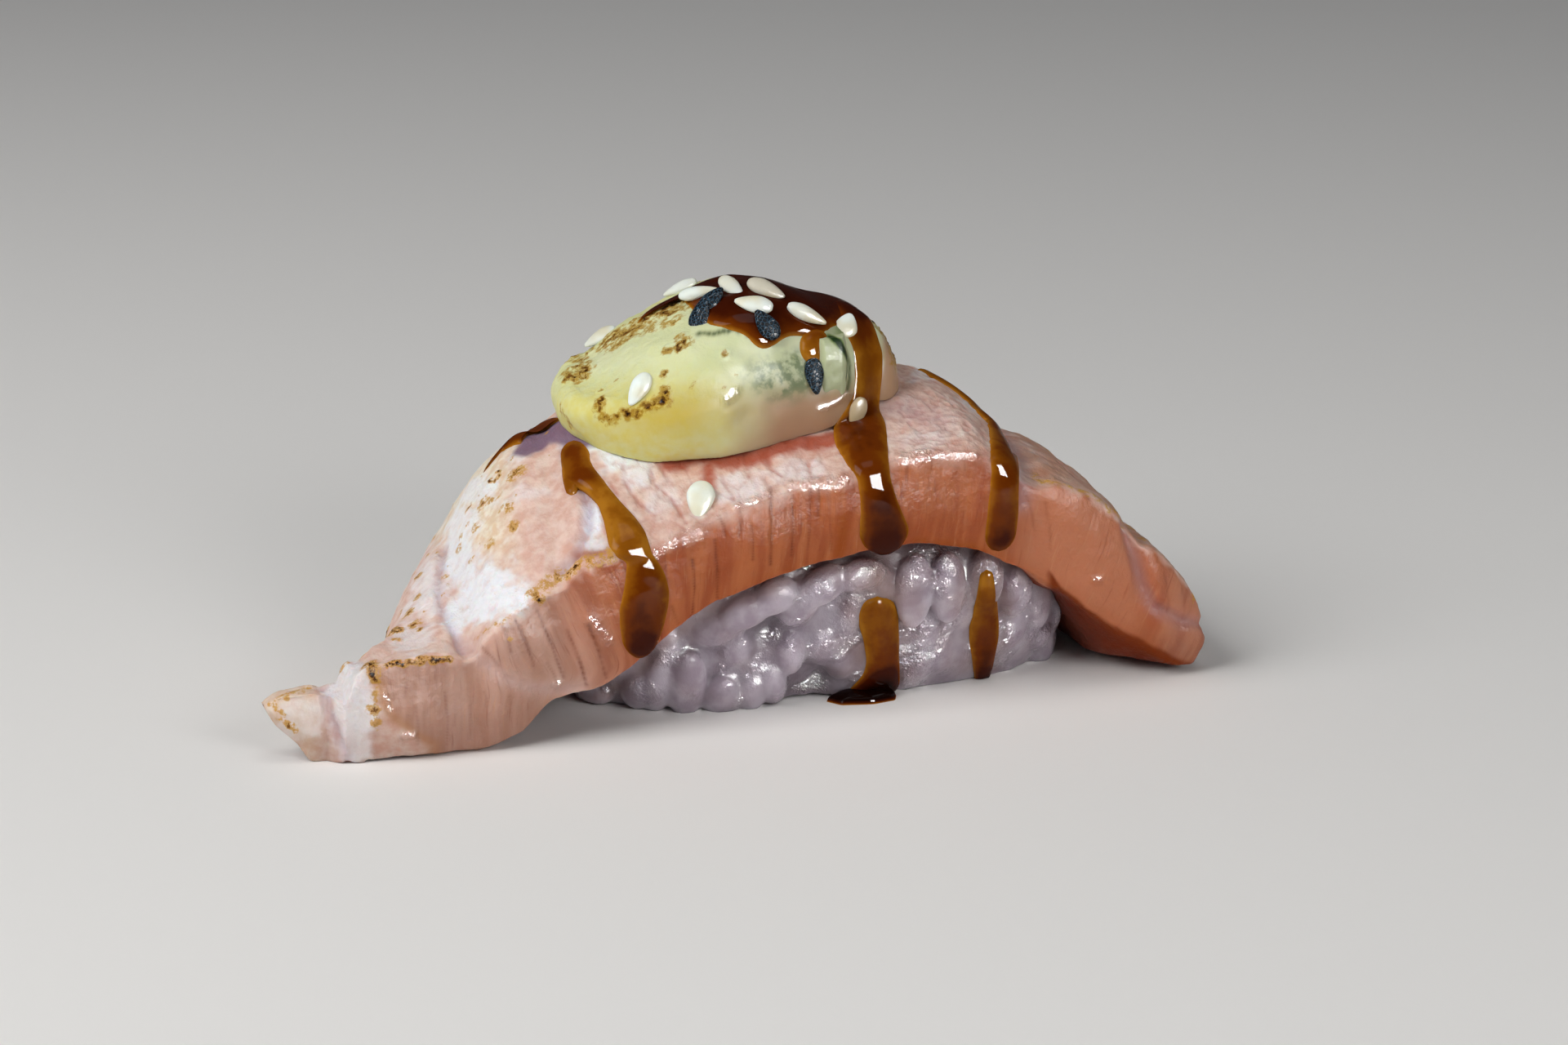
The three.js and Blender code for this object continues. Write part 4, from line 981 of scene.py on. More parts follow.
def oblong(angle, half_length, half_width):
    c, s = np.cos(angle), np.sin(angle)
    reach = (np.abs(c) ** SQUARENESS + np.abs(s) ** SQUARENESS) ** (-1 / SQUARENESS)
    return half_length * reach * c, half_width * reach * s


def rice_point(angle, height, grow=0.0):
    shrink = rice_shrink(height)
    half_length = RICE_HALF_LENGTH * (0.5 + 0.5 * shrink) * np.minimum(1, (shrink / 0.9) ** 0.3)
    x, y = oblong(angle, half_length + grow, RICE_HALF_WIDTH * shrink + grow)
    return np.stack(np.broadcast_arrays(RICE_X + x, y, height), -1)


def rice_core(grow, rows=40, sides=160):
    """The core: drawn in at its foot, and filled up in front to meet the hem of the slice."""
    angle = np.linspace(0, 2 * math.pi, sides, endpoint=False)[None]
    height = (np.linspace(0, 1, rows)[:, None] ** 0.8) * RICE_HEIGHT
    full = ramp(height, 6, 12) * np.clip(-np.sin(angle), 0, 1)
    return rice_point(angle, height, grow * ramp(height, -1.0, 3.5) + FRONT_FILL * full)

# %% [markdown]
# The grains in front are drawn one by one, because each can be recognised. The others are strewn
# in rows by chance, half of them upright, and left out where they come too near a drawn one.

# %% Points for the grains
def unit(rows):
    return rows / (np.linalg.norm(rows, axis=-1, keepdims=True) + 1e-9)


GRAIN_LENGTH = 5.5
GRAIN_WIDTH = 2.7
ROW_PITCH = 2.3
ALONG_PITCH = 2.55
CORE_GROWTH = 1.4
SITS_IN = 0.95
PLUMP = (1.05, 1.12)  # how much longer and wider a drawn grain is made, because its ends melt in
CLEAR_IN_FRONT = 4.2
CLEAR_BEHIND = 2.6
# the grains that the guest sees: place on the pane, lean in degrees, length, width and how far
# they stand out
FRONT_GRAINS = [
    (-11.0, 4.2, 75, 4.4, 2.9, 0.6), (-9.2, 4.6, 80, 6.4, 2.6, 0.7), (-6.6, 4.5, 86, 7.4, 3.0, 1.1),
    (-3.5, 3.0, 95, 5.4, 3.2, 1.1), (-0.9, 3.0, 88, 4.6, 2.4, 0.9), (1.2, 3.5, 100, 4.2, 2.4, 0.7),
    (-3.5, 9.3, 24, 4.8, 2.9, 0.9), (-1.3, 10.9, 25, 5.1, 2.8, 1.6), (-2.1, 7.3, 80, 3.6, 2.9, 0.4),
    (2.9, 6.5, 90, 4.3, 2.4, 0.6), (3.5, 10.9, 60, 4.6, 3.2, 0.9), (1.2, 11.9, 30, 4.2, 2.8, 1.8),
    (6.0, 6.8, 100, 4.2, 3.2, 0.1), (5.6, 12.4, 30, 4.8, 2.9, 1.7), (4.6, 2.3, 0, 4.3, 2.2, -1.2),
    (8.9, 12.9, 10, 4.6, 2.6, 1.9), (8.5, 9.6, 75, 5.3, 2.9, 0.3), (7.6, 5.2, 100, 4.0, 2.9, 0),
    (10.9, 11.3, 80, 4.8, 2.8, 0.5), (14.0, 11.2, 88, 6.9, 3.1, 1.4), (17.1, 11.2, 92, 6.6, 3.0, 1.4),
    (15.5, 7.2, 80, 4.6, 2.9, 0.1), (14.4, 3.4, 60, 5.3, 3.2, 0.2), (16.7, 4.6, 110, 4.2, 2.8, 0),
    (18.9, 9.2, 88, 5.8, 2.6, 0.4), (20.6, 11.8, 90, 5.4, 2.8, 1.6), (23.5, 10.4, 92, 5.3, 2.8, 1.3),
    (25.8, 8.8, 100, 5.3, 2.9, 0.6), (27.3, 7.6, 95, 4.8, 2.5, 0.3), (23.6, 6.5, 60, 4.5, 2.8, 0.2),
    (26.2, 5.4, 30, 3.4, 2.5, 0.2), (23.5, 3.2, 20, 3.0, 2.2, -0.2), (18.2, 3.3, 70, 4.3, 2.9, -0.6),
    (21.8, 5.8, 90, 4.3, 2.5, 0), (11.0, 6.6, 90, 5.2, 2.8, 0), (11.2, 2.6, 84, 4.2, 2.8, 0),
]
# clusters of sparks on the wet starch: place on the pane, size and strength
SPARKS = [
    (-1.9, 13.3, 1.2, 0.5), (1.3, 14.7, 1.4, 0.6), (3.6, 11.3, 0.7, 1.0), (5.2, 12.1, 1.0, 1.0),
    (8.6, 10.9, 1.2, 0.9), (7.6, 8.6, 1.3, 0.8), (10.3, 12.9, 1.3, 0.9), (9.6, 11.4, 0.8, 0.8),
    (13.5, 11.8, 0.9, 1.0), (14.4, 13.5, 1.0, 0.8), (16.8, 13.6, 1.0, 0.8), (17.7, 12.4, 0.8, 0.6),
    (20.3, 12.3, 1.2, 0.9), (19.0, 9.2, 1.0, 0.6), (22.4, 6.6, 0.8, 0.9), (23.2, 10.8, 1.0, 0.5),
    (25.9, 5.0, 0.8, 0.7), (2.8, 7.1, 0.8, 0.9), (-0.6, 5.0, 1.4, 0.6), (-1.9, 8.0, 1.0, 0.5),
    (14.6, 4.6, 1.6, 0.9), (16.6, 4.8, 0.7, 0.6), (-4.0, 7.8, 0.8, 0.4), (-2.4, 4.1, 0.8, 0.4),
    (12.8, 7.4, 1.0, 0.5), (21.4, 9.8, 0.7, 0.6), (5.6, 6.6, 1.2, 0.5), (17.6, 9.4, 1.0, 0.5),
]
# hollows between the grains: place on the pane, size and depth
HOLLOWS = [
    (0.4, 9.0, 1.3, 1.2), (3.7, 4.2, 1.1, 1.7), (6.5, 4.2, 1.3, 1.7), (5.1, 3.0, 1.3, 1.9),
    (2.9, 2.6, 0.9, 1.2),
]
dice = np.random.default_rng(41)


def grain_frame(beside, up, turn, tilt):
    """The way out of the ball, and the turn of a grain that lies on it."""
    outward = np.cross(beside, up)
    outward /= np.linalg.norm(outward)
    along = beside * math.cos(turn) + up * math.sin(turn) + outward * tilt
    along /= np.linalg.norm(along)
    side = np.cross(outward, along)
    side /= np.linalg.norm(side)
    return outward, Matrix([along, side, np.cross(along, side)]).transposed().to_euler()


places, turns, sizes = [], [], []
core_points, core_faces = closed_skin(rice_core(CORE_GROWTH))
core_tree = BVHTree.FromPolygons(core_points.tolist(), core_faces)
hollow_places = [(seen_at(core_tree, x, z)[0], size, deep) for x, z, size, deep in HOLLOWS]
for x, z, lean_degrees, length, width, proud in FRONT_GRAINS:
    here = seen_at(core_tree, x, z)
    beside = np.cross([0.0, 0.0, 1.0], -here[1])
    beside /= np.linalg.norm(beside)
    up = np.cross(-here[1], beside)
    outward, turn = grain_frame(-beside, -up, math.pi - math.radians(lean_degrees), 0.0)
    places.append(here[0] + here[1] * (proud - SITS_IN))
    turns.append(turn)
    sizes.append((PLUMP[0] * length / GRAIN_LENGTH, PLUMP[1] * width / GRAIN_WIDTH, 1.0))
drawn = np.array(places)
for row in range(int((RICE_HEIGHT - 0.6) / ROW_PITCH)):
    height = 1.3 + row * ROW_PITCH
    reach = 2 * math.pi * (RICE_HALF_LENGTH * 0.62 + RICE_HALF_WIDTH * 0.5) * rice_shrink(height)
    count = round(float(reach) / ALONG_PITCH)
    for i in range(count):
        angle = (i + 0.5 * (row % 2) + 0.5 * dice.random()) / count * 2 * math.pi
        h = float(np.clip(height + (dice.random() - 0.5) * 1.4, 0.9, RICE_HEIGHT - 0.4))
        here = rice_point(angle, h)
        beside = rice_point(angle + 0.02, h) - here
        up = rice_point(angle, h + 0.1) - here
        beside /= np.linalg.norm(beside)
        up /= np.linalg.norm(up)
        if dice.random() < 0.5:
            spin = math.pi / 2 + (dice.random() - 0.5) * 0.9
        else:
            spin = dice.random() * math.pi
        outward, turn = grain_frame(beside, up, spin, (dice.random() - 0.5) * 0.45)
        place = here + outward * (CORE_GROWTH - SITS_IN + 0.5 * dice.random())
        size = 0.88 + 0.24 * dice.random()
        if any(np.linalg.norm(place - hollow) < wide + 1.0 for hollow, wide, _ in hollow_places):
            place -= outward * 1.5
        stretch = 0.9 + 0.2 * dice.random()
        in_front = outward.dot(unit(here - np.array(EYE))) < -0.25
        if np.linalg.norm(drawn - place, axis=1).min() < (CLEAR_IN_FRONT if in_front else CLEAR_BEHIND):
            continue
        places.append(place)
        turns.append(turn)
        sizes.append((size * stretch, size, size))
print("grains:", len(places))

# %% [markdown]
# The tree has named inputs for the grain's length and width, so that long-grain rice would be a
# matter of two numbers. The inputs of a modifier are set by the identifier of their socket, and
# before the object is first evaluated.

# %% Grain tree
def node_group(name, sockets):
    """An empty geometry tree with named inputs, its group input and its group output."""
    tree = bpy.data.node_groups.new(name, "GeometryNodeTree")
    tree.interface.new_socket("Geometry", in_out="INPUT", socket_type="NodeSocketGeometry")
    tree.interface.new_socket("Geometry", in_out="OUTPUT", socket_type="NodeSocketGeometry")
    for label, kind in sockets:
        tree.interface.new_socket(label, in_out="INPUT", socket_type=kind)
    return tree, add(tree, "NodeGroupInput"), add(tree, "NodeGroupOutput")


def carried(tree, name):
    kind = {"data_type": "FLOAT_VECTOR"}
    return add(tree, "GeometryNodeInputNamedAttribute", kind, {"Name": name}).outputs[0]


def copies_on_points(tree, given, shape_socket):
    """One copy of a shape on each point, turned by its `turn` and scaled by its `size`."""
    turned = add(tree, "FunctionNodeEulerToRotation", None, {0: carried(tree, "turn")}).outputs[0]
    copies = add(tree, "GeometryNodeInstanceOnPoints", None, {
        "Points": given, "Instance": shape_socket, "Rotation": turned, "Scale": carried(tree, "size")})
    return add(tree, "GeometryNodeRealizeInstances", None, {0: copies.outputs[0]}).outputs[0]


def applied(piece):
    """Puts the evaluated mesh in place of the piece's mesh and removes its modifiers."""
    evaluated = piece.evaluated_get(bpy.context.evaluated_depsgraph_get())
    mesh = bpy.data.meshes.new_from_object(evaluated)
    piece.modifiers.clear()
    old = piece.data
    piece.data = mesh
    bpy.data.meshes.remove(old)
    return piece


def run_tree(piece, tree, values):
    modifier = piece.modifiers.new(tree.name, "NODES")
    modifier.node_group = tree
    for item in tree.interface.items_tree:
        if item.in_out == "INPUT" and item.name in values:
            modifier[item.identifier] = values[item.name]
    return applied(piece)


grain_tree, given, result = node_group("grains on points", [
    ("Grain length", "NodeSocketFloat"), ("Grain width", "NodeSocketFloat"),
    ("Finish", "NodeSocketMaterial")])
ball = add(grain_tree, "GeometryNodeMeshUVSphere", None, {"Segments": 20, "Rings": 14, "Radius": 0.5})
girth = add(grain_tree, "ShaderNodeCombineXYZ", None, {
    "X": given.outputs["Grain length"], "Y": given.outputs["Grain width"], "Z": given.outputs["Grain width"]})
grain_shape = add(grain_tree, "GeometryNodeTransform", None, {
    "Geometry": ball.outputs[0], "Scale": girth.outputs[0]})
real = copies_on_points(grain_tree, given.outputs["Geometry"], grain_shape.outputs[0])
finished = add(grain_tree, "GeometryNodeSetMaterial", None, {
    "Geometry": real, "Material": given.outputs["Finish"]})
grain_tree.links.new(finished.outputs[0], result.inputs[0])

# %% [markdown]
# ## The finish of cooked rice
#
# Cooked rice is a gel: cloudy, almost white, and wet. Light wanders through it, so most of what
# the eye gets is scattered below the surface, faintly lilac where the grain is thick, and the
# wet skin throws back tiny sparks.

# %% Rice material
rice_finish, tree = new_material("wet_cooked_rice")
place = add(tree, "ShaderNodeTexCoord").outputs["Object"]
cloud = noise(tree, place, 0.35, 3)
starch = noise(tree, place, 1.6, 3, 0.7)
spark = noise(tree, place, 4.0, 2)
sparks = mark_of(tree, "sparks")
wet_grains = times(tree, sparks, remapped(tree, starch, 0.4, 0.6))
base = mixed(tree, remapped(tree, cloud, 0.35, 0.65), colour("#a0939e"), colour("#bdb3bd"))
base = painted(tree, base, [
    # sauce stains, and painted shade under the hem of the slice
    (faint(tree, "sauce_stain_and_hem_shade", 0.6), "#96735f"),
    # painted shade in the hollows and near the board
    (faint(tree, "hollow", 0.8), "#62565c"),
])
finish_material(tree, base, {
    "Subsurface Weight": 1.0, "Subsurface Radius": (1.0, 0.92, 0.95), "Subsurface Scale": 2.6 * MM,
    "Roughness": 0.35, "IOR": 1.4, "Specular IOR Level": 0.08, "Coat Roughness": 0.04, "Coat IOR": 1.5,
    "Coat Weight": remapped(tree, wet_grains, 0.06, 0.26, 0.05, 1.0),
}, [(starch, 0.08), (times(tree, starch, sparks), 0.5), (times(tree, spark, sparks), 0.2)])

# %% [markdown]
# The grains of a pressed ball melt into each other where they touch. A voxel remesh does just
# that: it wraps the whole heap in one new skin of small squares and forgets what is inside. A
# little smoothing then takes off the steps.

# %% Grains to one ball
VOXEL = 0.25


def points_piece(name, places, turns, sizes):
    """A mesh of loose points that carry `turn` and `size`."""
    mesh = bpy.data.meshes.new(name)
    mesh.from_pydata((np.array(places) * MM).tolist(), [], [])
    for label, rows in (("turn", turns), ("size", sizes)):
        layer = mesh.attributes.new(label, "FLOAT_VECTOR", "POINT")
        layer.data.foreach_set("vector", np.array(rows, np.float32).ravel())
    piece = bpy.data.objects.new(name, mesh)
    bpy.context.scene.collection.objects.link(piece)
    return piece


def mesh_arrays(mesh):
    points = np.zeros(len(mesh.vertices) * 3)
    mesh.vertices.foreach_get("co", points)
    return points.reshape(-1, 3) / MM, [tuple(p.vertices) for p in mesh.polygons]


def removed(piece):
    mesh = piece.data
    bpy.data.objects.remove(piece)
    bpy.data.meshes.remove(mesh)


grains = run_tree(points_piece("grains", places, turns, sizes), grain_tree, {
    "Grain length": GRAIN_LENGTH * MM, "Grain width": GRAIN_WIDTH * MM, "Finish": rice_finish})
grain_points, grain_faces = mesh_arrays(grains.data)
removed(grains)
for hollow, wide, deep in hollow_places:
    inward = unit(np.array([RICE_X, 0.0, 8.0]) - core_points)
    dent = np.exp(-((core_points - hollow) ** 2).sum(1) / wide ** 2)
    core_points = core_points + inward * (deep * dent)[:, None]


def joined(skins):
    """The points and faces of several skins, put together as one."""
    points, faces, start = [], [], 0
    for skin_points, skin_faces in skins:
        points.append(skin_points)
        faces += [tuple(i + start for i in face) for face in skin_faces]
        start += len(skin_points)
    return np.concatenate(points), faces


heap = make_piece("heap", *joined([(grain_points, grain_faces), (core_points, core_faces)]))
remesh = heap.modifiers.new("melt together", "REMESH")
remesh.mode = "VOXEL"
remesh.voxel_size = VOXEL * MM
settle = heap.modifiers.new("take off the steps", "SMOOTH")
settle.factor = 0.5
settle.iterations = 8
applied(heap)
rice_points, rice_faces = mesh_arrays(heap.data)
removed(heap)

# %% [markdown]
# Painted shade makes the rice darker in the hollows, where it lies close over the core, and near
# the board. It is brownish where sauce has run, and a band of brownish painted shade lies just
# under the hem of the slice, where light comes through the fish. These marks come after the
# remesh, because it forgets what points carried.

# %% Marks on the ball of rice
rice_points[:, 2] = np.maximum(rice_points[:, 2], 0.0)
deep_tree = BVHTree.FromPolygons(core_points.tolist(), core_faces)
height_over_core = np.array([deep_tree.find_nearest(Vector(p))[3] for p in rice_points])
# painted shade: the rice is darkened where it lies close over the core, in the hollows and low down near the
# board
near_core = 1 - ramp(height_over_core, 0.0, 0.5)
sunk = sum(
    np.exp(-((rice_points - hollow) ** 2).sum(1) / (wide * 1.2) ** 2) for hollow, wide, _ in hollow_places)
low_down = 0.4 * (1 - ramp(rice_points[:, 2], 0.0, 4.0))
shaded = np.clip(0.2 * near_core + 0.9 * sunk + low_down, 0, 1)
rice_pane_x, rice_pane_z = on_pane(rice_points)
sparks = 0.6 * ramp(hills(rice_points, 2.4, 67), 0.0, 0.5)
for x, z, size, strength in SPARKS:
    away = (rice_pane_x - x) ** 2 + (rice_pane_z - z) ** 2
    sparks = np.maximum(sparks, strength * np.exp(-away / size ** 2))
SAUCE_STAINS = ((11.0, 3.0), (20.7, 2.4))  # where each run of sauce passes, and how far it stains
# painted shade: a brownish band just under the hem of the slice, where light comes through the fish; beside
# the runs it is a real sauce stain
sauce_stain_and_hem_shade = 0.6 * np.exp(-((rice_pane_z - hem_at(rice_pane_x)) / 1.0) ** 2)
for x, reach in SAUCE_STAINS:
    beside_run = np.exp(-((rice_pane_x - x) / reach) ** 2) * ramp(rice_pane_z, 1.0, 4.0)
    sauce_stain_and_hem_shade = np.maximum(sauce_stain_and_hem_shade, 0.8 * beside_run)
sauce_stain_and_hem_shade = np.clip(sauce_stain_and_hem_shade + 0.3 * hills(rice_points, 2.0, 66), 0, 1) * (rice_points[:, 1] < 0)
print("rice box, mm:", rice_points.min(0).round(1), rice_points.max(0).round(1))
rice = make_piece("pressed_rice", rice_points, rice_faces, {
    "hollow": shaded, "sauce_stain_and_hem_shade": sauce_stain_and_hem_shade, "sparks": sparks})
rice.data.materials.append(rice_finish)
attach(rice, "root")
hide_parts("rice")

# %% [markdown]
# ## The torched cream: its form
#
# The cream was spooned on and torched, so it has slumped into a long dome: lower to the left,
# with a thick lobe that hangs towards the front and a smaller one at its right end. It is a
# stack of outlines, as the solid in the frame is. Where it meets the fish it follows it, so no
# gap shows.

# %% Mound
TOPPING = {"x": 1.9, "y": 1.4, "z": 26.2, "half_length": 15.4, "half_width": 9.8, "rise": 9.8, "below": 6.0}
MOUND_ROWS = 150
MOUND_SIDES = 400
LOWEST_TILT, HIGHEST_TILT = -0.34, 0.49  # in half turns: where the stack of outlines begins and ends
LOBE = {"x": -6, "reach": 8, "out": 1.3}
NOTCH = {"x": 11.4, "reach": 1.7, "in": 1.9}
SLUMP_LEFT = 6.7
SADDLE = {"x": 8.6, "reach": 4.6, "deep": 1.4}


def mound_grid():
    tilt = np.linspace(LOWEST_TILT, HIGHEST_TILT, MOUND_ROWS)[:, None] * math.pi
    angle = np.linspace(0, 2 * math.pi, MOUND_SIDES, endpoint=False)[None]
    level = np.cos(tilt) ** 0.62
    x, y = oblong(angle, TOPPING["half_length"] * level, TOPPING["half_width"] * level)
    forward_side = np.clip(-np.sin(angle), 0, 1)
    lobe = LOBE["out"] * np.exp(-(((x - LOBE["x"]) / LOBE["reach"]) ** 2)) * forward_side
    notch = NOTCH["in"] * np.exp(-(((x - NOTCH["x"]) / NOTCH["reach"]) ** 2)) * forward_side
    height = np.sin(tilt) * np.where(tilt > 0, TOPPING["rise"], TOPPING["below"])
    saddle = SADDLE["deep"] * np.exp(-(((x - SADDLE["x"]) / SADDLE["reach"]) ** 2))
    slump = SLUMP_LEFT * np.clip((-x + 1) / 15, 0, 1) ** 1.3 + saddle
    lumps = 0.2 * np.sin(0.5 * x + 0.6 * height) + 0.15 * np.sin(0.7 * y + 0.9 * x)
    z = TOPPING["z"] + height - np.where(tilt > 0, slump, 0) * np.sin(np.clip(tilt, 0, 9)) + lumps * level
    grid = np.stack(np.broadcast_arrays(TOPPING["x"] + x, TOPPING["y"] + y - (lobe - notch) * level, z), -1)
    rest = top_height(grid[..., 0], grid[..., 1]) - fold_depth(grid[..., 0], grid[..., 1]) + 0.12
    inside = grid[..., 1] > slice_span(grid[..., 0])[0]
    grid[..., 2] = np.where(inside, np.maximum(grid[..., 2], rest), grid[..., 2])
    return grid


mound_base = mound_grid()
mound_flat = mound_base.reshape(-1, 3)
mound_skin = closed_skin(mound_base)
mound_tree = BVHTree.FromPolygons(mound_skin[0].tolist(), mound_skin[1])
print("mound box, mm:", mound_flat.min(0).round(1), mound_flat.max(0).round(1))

# %% [markdown]
# The torch has left small craters with a raised rim, brown lines along the edges, and freckles
# over the crown. They are drawn on the pane like those on the fish.

# %% Scorch marks on the cream
# place and size of each spot, then how dark it is
CREAM_SPOTS = [
    (-7.1, 34.3, 0.42, 1.0), (-6.8, 35.4, 0.36, 0.7), (-8.2, 34.4, 0.3, 0.55), (-8.5, 32.2, 0.36, 0.9),
    (-6.0, 35.2, 0.24, 0.5), (-3.0, 33.6, 0.34, 0.5), (-5.8, 31.3, 0.26, 0.4), (-6.0, 30.9, 0.26, 0.4),
    (-3.1, 30.6, 0.24, 0.4), (-2.2, 31.6, 0.22, 0.35), (-12.6, 32.0, 0.3, 0.4), (-16.6, 33.9, 0.4, 0.6),
    (-15.9, 33.2, 0.5, 0.8), (-16.0, 32.4, 0.5, 1.0), (-16.6, 32.1, 0.45, 0.95), (-15.0, 33.2, 0.35, 0.6),
    (-15.4, 32.4, 0.5, 0.7), (-14.8, 34.7, 0.5, 0.7), (-8.3, 30.6, 0.35, 0.8), (-8.6, 29.9, 0.55, 0.9),
    (-9.3, 29.8, 0.4, 0.7), (-13.9, 30.4, 0.35, 0.9), (-14.0, 31.3, 0.25, 0.5),
]
# route, width and how dark it is
CREAM_LINES = [
    ([(-14.1, 30.4), (-14.2, 29.6), (-13.5, 28.7), (-12.3, 28.9), (-10.3, 29.4), (-9.1, 29.9),
      (-8.2, 29.8)], 0.6, 0.6),
    ([(-9.2, 29.7), (-8.5, 29.9), (-8.3, 30.8)], 0.55, 0.7),
    ([(-13.4, 35.5), (-11.7, 36.2), (-10.6, 37.0), (-9.3, 37.4), (-7.9, 37.8), (-6.6, 38.0)], 1.5, 0.5),
    ([(-12.8, 35.0), (-11.4, 35.8), (-9.6, 36.4), (-7.6, 36.8)], 1.1, 0.42),
    ([(-10.2, 37.2), (-8.8, 37.7), (-7.4, 38.2)], 0.5, 0.7),
    ([(-16.5, 34.2), (-15.4, 33.7), (-15.0, 32.9)], 0.8, 0.5),
    ([(-16.6, 32.8), (-16.0, 32.3), (-15.2, 32.8)], 0.9, 0.62),
    ([(7.4, 37.4), (8.8, 37.0), (10.2, 36.2), (11.2, 35.0), (11.9, 33.4), (12.1, 32.2)], 1.3, 0.6),
    ([(-7.2, 35.2), (-6.2, 34.8), (-8.2, 34.2)], 0.5, 0.5), ([(-17.2, 29.8), (-16.6, 28.6)], 0.6, 0.4),
]
# route, width and strength of each wet streak
CREAM_WET = [
    ([(-2.9, 29.6), (-2.1, 30.2)], 0.45, 1.0), ([(5.6, 28.0), (6.9, 28.5), (7.9, 29.2)], 0.4, 0.9),
    ([(7.0, 32.8), (7.6, 32.2)], 0.4, 0.8),
]
cream_scorch = scorch(mound_flat, mound_tree, CREAM_SPOTS, CREAM_LINES, 90)
on_crown = ramp(mound_flat[:, 2], 31.5, 34.5) * ramp(mound_flat[:, 1], -1.0, 2.5)
crown_scorch = ramp(rough_hills(mound_flat, 1.6, 95), 0.25, 0.8) * on_crown
cream_scorch = np.clip(np.maximum(cream_scorch, 0.8 * crown_scorch), 0, 1)
CRATER_FROM = 0.45  # how dark a spot has to be to have a crater
CRATER_RIM = 0.16
crater = np.zeros(len(mound_flat))
for x, z, size, dark in CREAM_SPOTS:
    hit = seen_at(mound_tree, x, z)
    if hit and dark > CRATER_FROM:
        away = np.linalg.norm(mound_flat - hit[0], axis=1)
        crater += 0.14 * np.exp(-((away - size) / CRATER_RIM) ** 2)
        crater -= 0.2 * np.exp(-((away / (size * 0.7)) ** 2))

# %% [markdown]
# The dry torched skin at the upper left is drawn into faint folds, and the lower right is still
# soft and smooth. The greenish place at the right is the avocado that shines through.

# %% Relief and zones of the cream
mound_normals = grid_normals(mound_base).reshape(-1, 3)
mound_normals *= np.sign((mound_normals * (mound_flat - mound_flat.mean(0))).sum())
pane_x, pane_z = on_pane(mound_flat)
dry_skin = ramp(-pane_x, -1.0, 7.0) * ramp(pane_z, 28.5, 31.5)
left_lip = nearness(mound_flat, laid(mound_tree, [(-16.8, 34.0), (-17.0, 31.6), (-16.2, 29.4)]), 1.4)
lobe_fold = nearness(mound_flat, laid(mound_tree, [(-3.2, 26.2), (-2.4, 27.2), (-1.2, 28.0)]), 0.7)
over_avocado = nearness(mound_flat, laid(mound_tree, [(6.6, 33.2), (6.9, 31.6), (6.7, 29.8)]), 1.1)
GREEN_ARC = [(6.4, 34.4), (7.1, 33.9), (7.7, 33.0), (8.1, 31.7), (8.1, 30.6), (7.9, 29.7)]
mound_relief = (
    crater + 0.5 * left_lip - 0.12 * lobe_fold + 0.4 * over_avocado
    + 0.12 * rough_hills(mound_flat, 3.0, 100, 2) + 0.04 * rough_hills(mound_flat, 0.8, 104) * dry_skin
    + cream_scorch * 0.3 * np.abs(rough_hills(mound_flat, 0.55, 108, 2))
)
cream_wet = strokes(mound_flat, mound_tree, CREAM_WET, 0.2)
mound_grid_final = (mound_flat + mound_normals * mound_relief[:, None]).reshape(mound_base.shape)
GREEN_X, GREEN_Z, GREEN_LONG, GREEN_HIGH = 2.4, 31.2, 3.8, 2.4
from_patch = np.hypot((pane_x - GREEN_X) / GREEN_LONG, (pane_z - GREEN_Z) / GREEN_HIGH)
greenish = 1 - ramp(from_patch + 0.2 * hills(mound_flat, 2.4, 117), 0.5, 1.2)
GREEN_FLECKS = [
    ([(-15.4, 34.7), (-14.6, 35.0)], 0.4, 1.0),
    ([(-5.3, 35.5), (-4.0, 35.4), (-2.9, 35.6), (-0.6, 35.1)], 0.32, 1.0),
]
green_flecks = strokes(mound_flat, mound_tree, GREEN_FLECKS)
green_flecks *= ramp(hills(mound_flat, 0.9, 121), -0.5, 0.0)
green_flecks = np.maximum(green_flecks, nearness(mound_flat, laid(mound_tree, GREEN_ARC, 0.2), 0.28))
yellow = ramp(-pane_x + 2.5 * hills(mound_flat, 4.0, 115), -3.0, 9.0) * (1 - 0.75 * ramp(pane_z, 29.5, 33.5))
yellow = np.maximum(yellow, 0.6 * ramp(mound_flat[:, 1] + 1.5 * hills(mound_flat, 4.0, 116), 2.5, 6.0))
honey = np.exp(-(((pane_x + 7.5) / 5.5) ** 2) - ((pane_z - 28.6) / 2.2) ** 2)
beige = ramp(pane_x + 0.8 * hills(mound_flat, 3.0, 118), -5.0, 3.0) * (1 - ramp(pane_z, 28.5, 32.0))
right_lobe = ramp(pane_x, 10.4, 11.6)
mound_points, mound_faces = closed_skin(mound_grid_final)
shape = mound_base.shape[:2]
mound_marks = {
    "scorched": cream_scorch, "greenish": np.clip(greenish, 0, 1), "green_fleck": green_flecks,
    "yellow": yellow, "honey": honey, "beige": np.clip(beige + right_lobe, 0, 1), "dry": dry_skin,
    "wet": cream_wet,
}
cream = make_piece(
    "torched_cream", mound_points, mound_faces,
    {name: with_ends(values.reshape(shape)) for name, values in mound_marks.items()},
)

# %% [markdown]
# ## The finish of torched cream
#
# It is an emulsion of egg and oil: opaque but soft, pale where it is thin, deeper yellow where
# the torch has cooked it, dry above and wet in a few streaks. It browns the way bread does, first
# golden, then brown, and black only at the very tips.

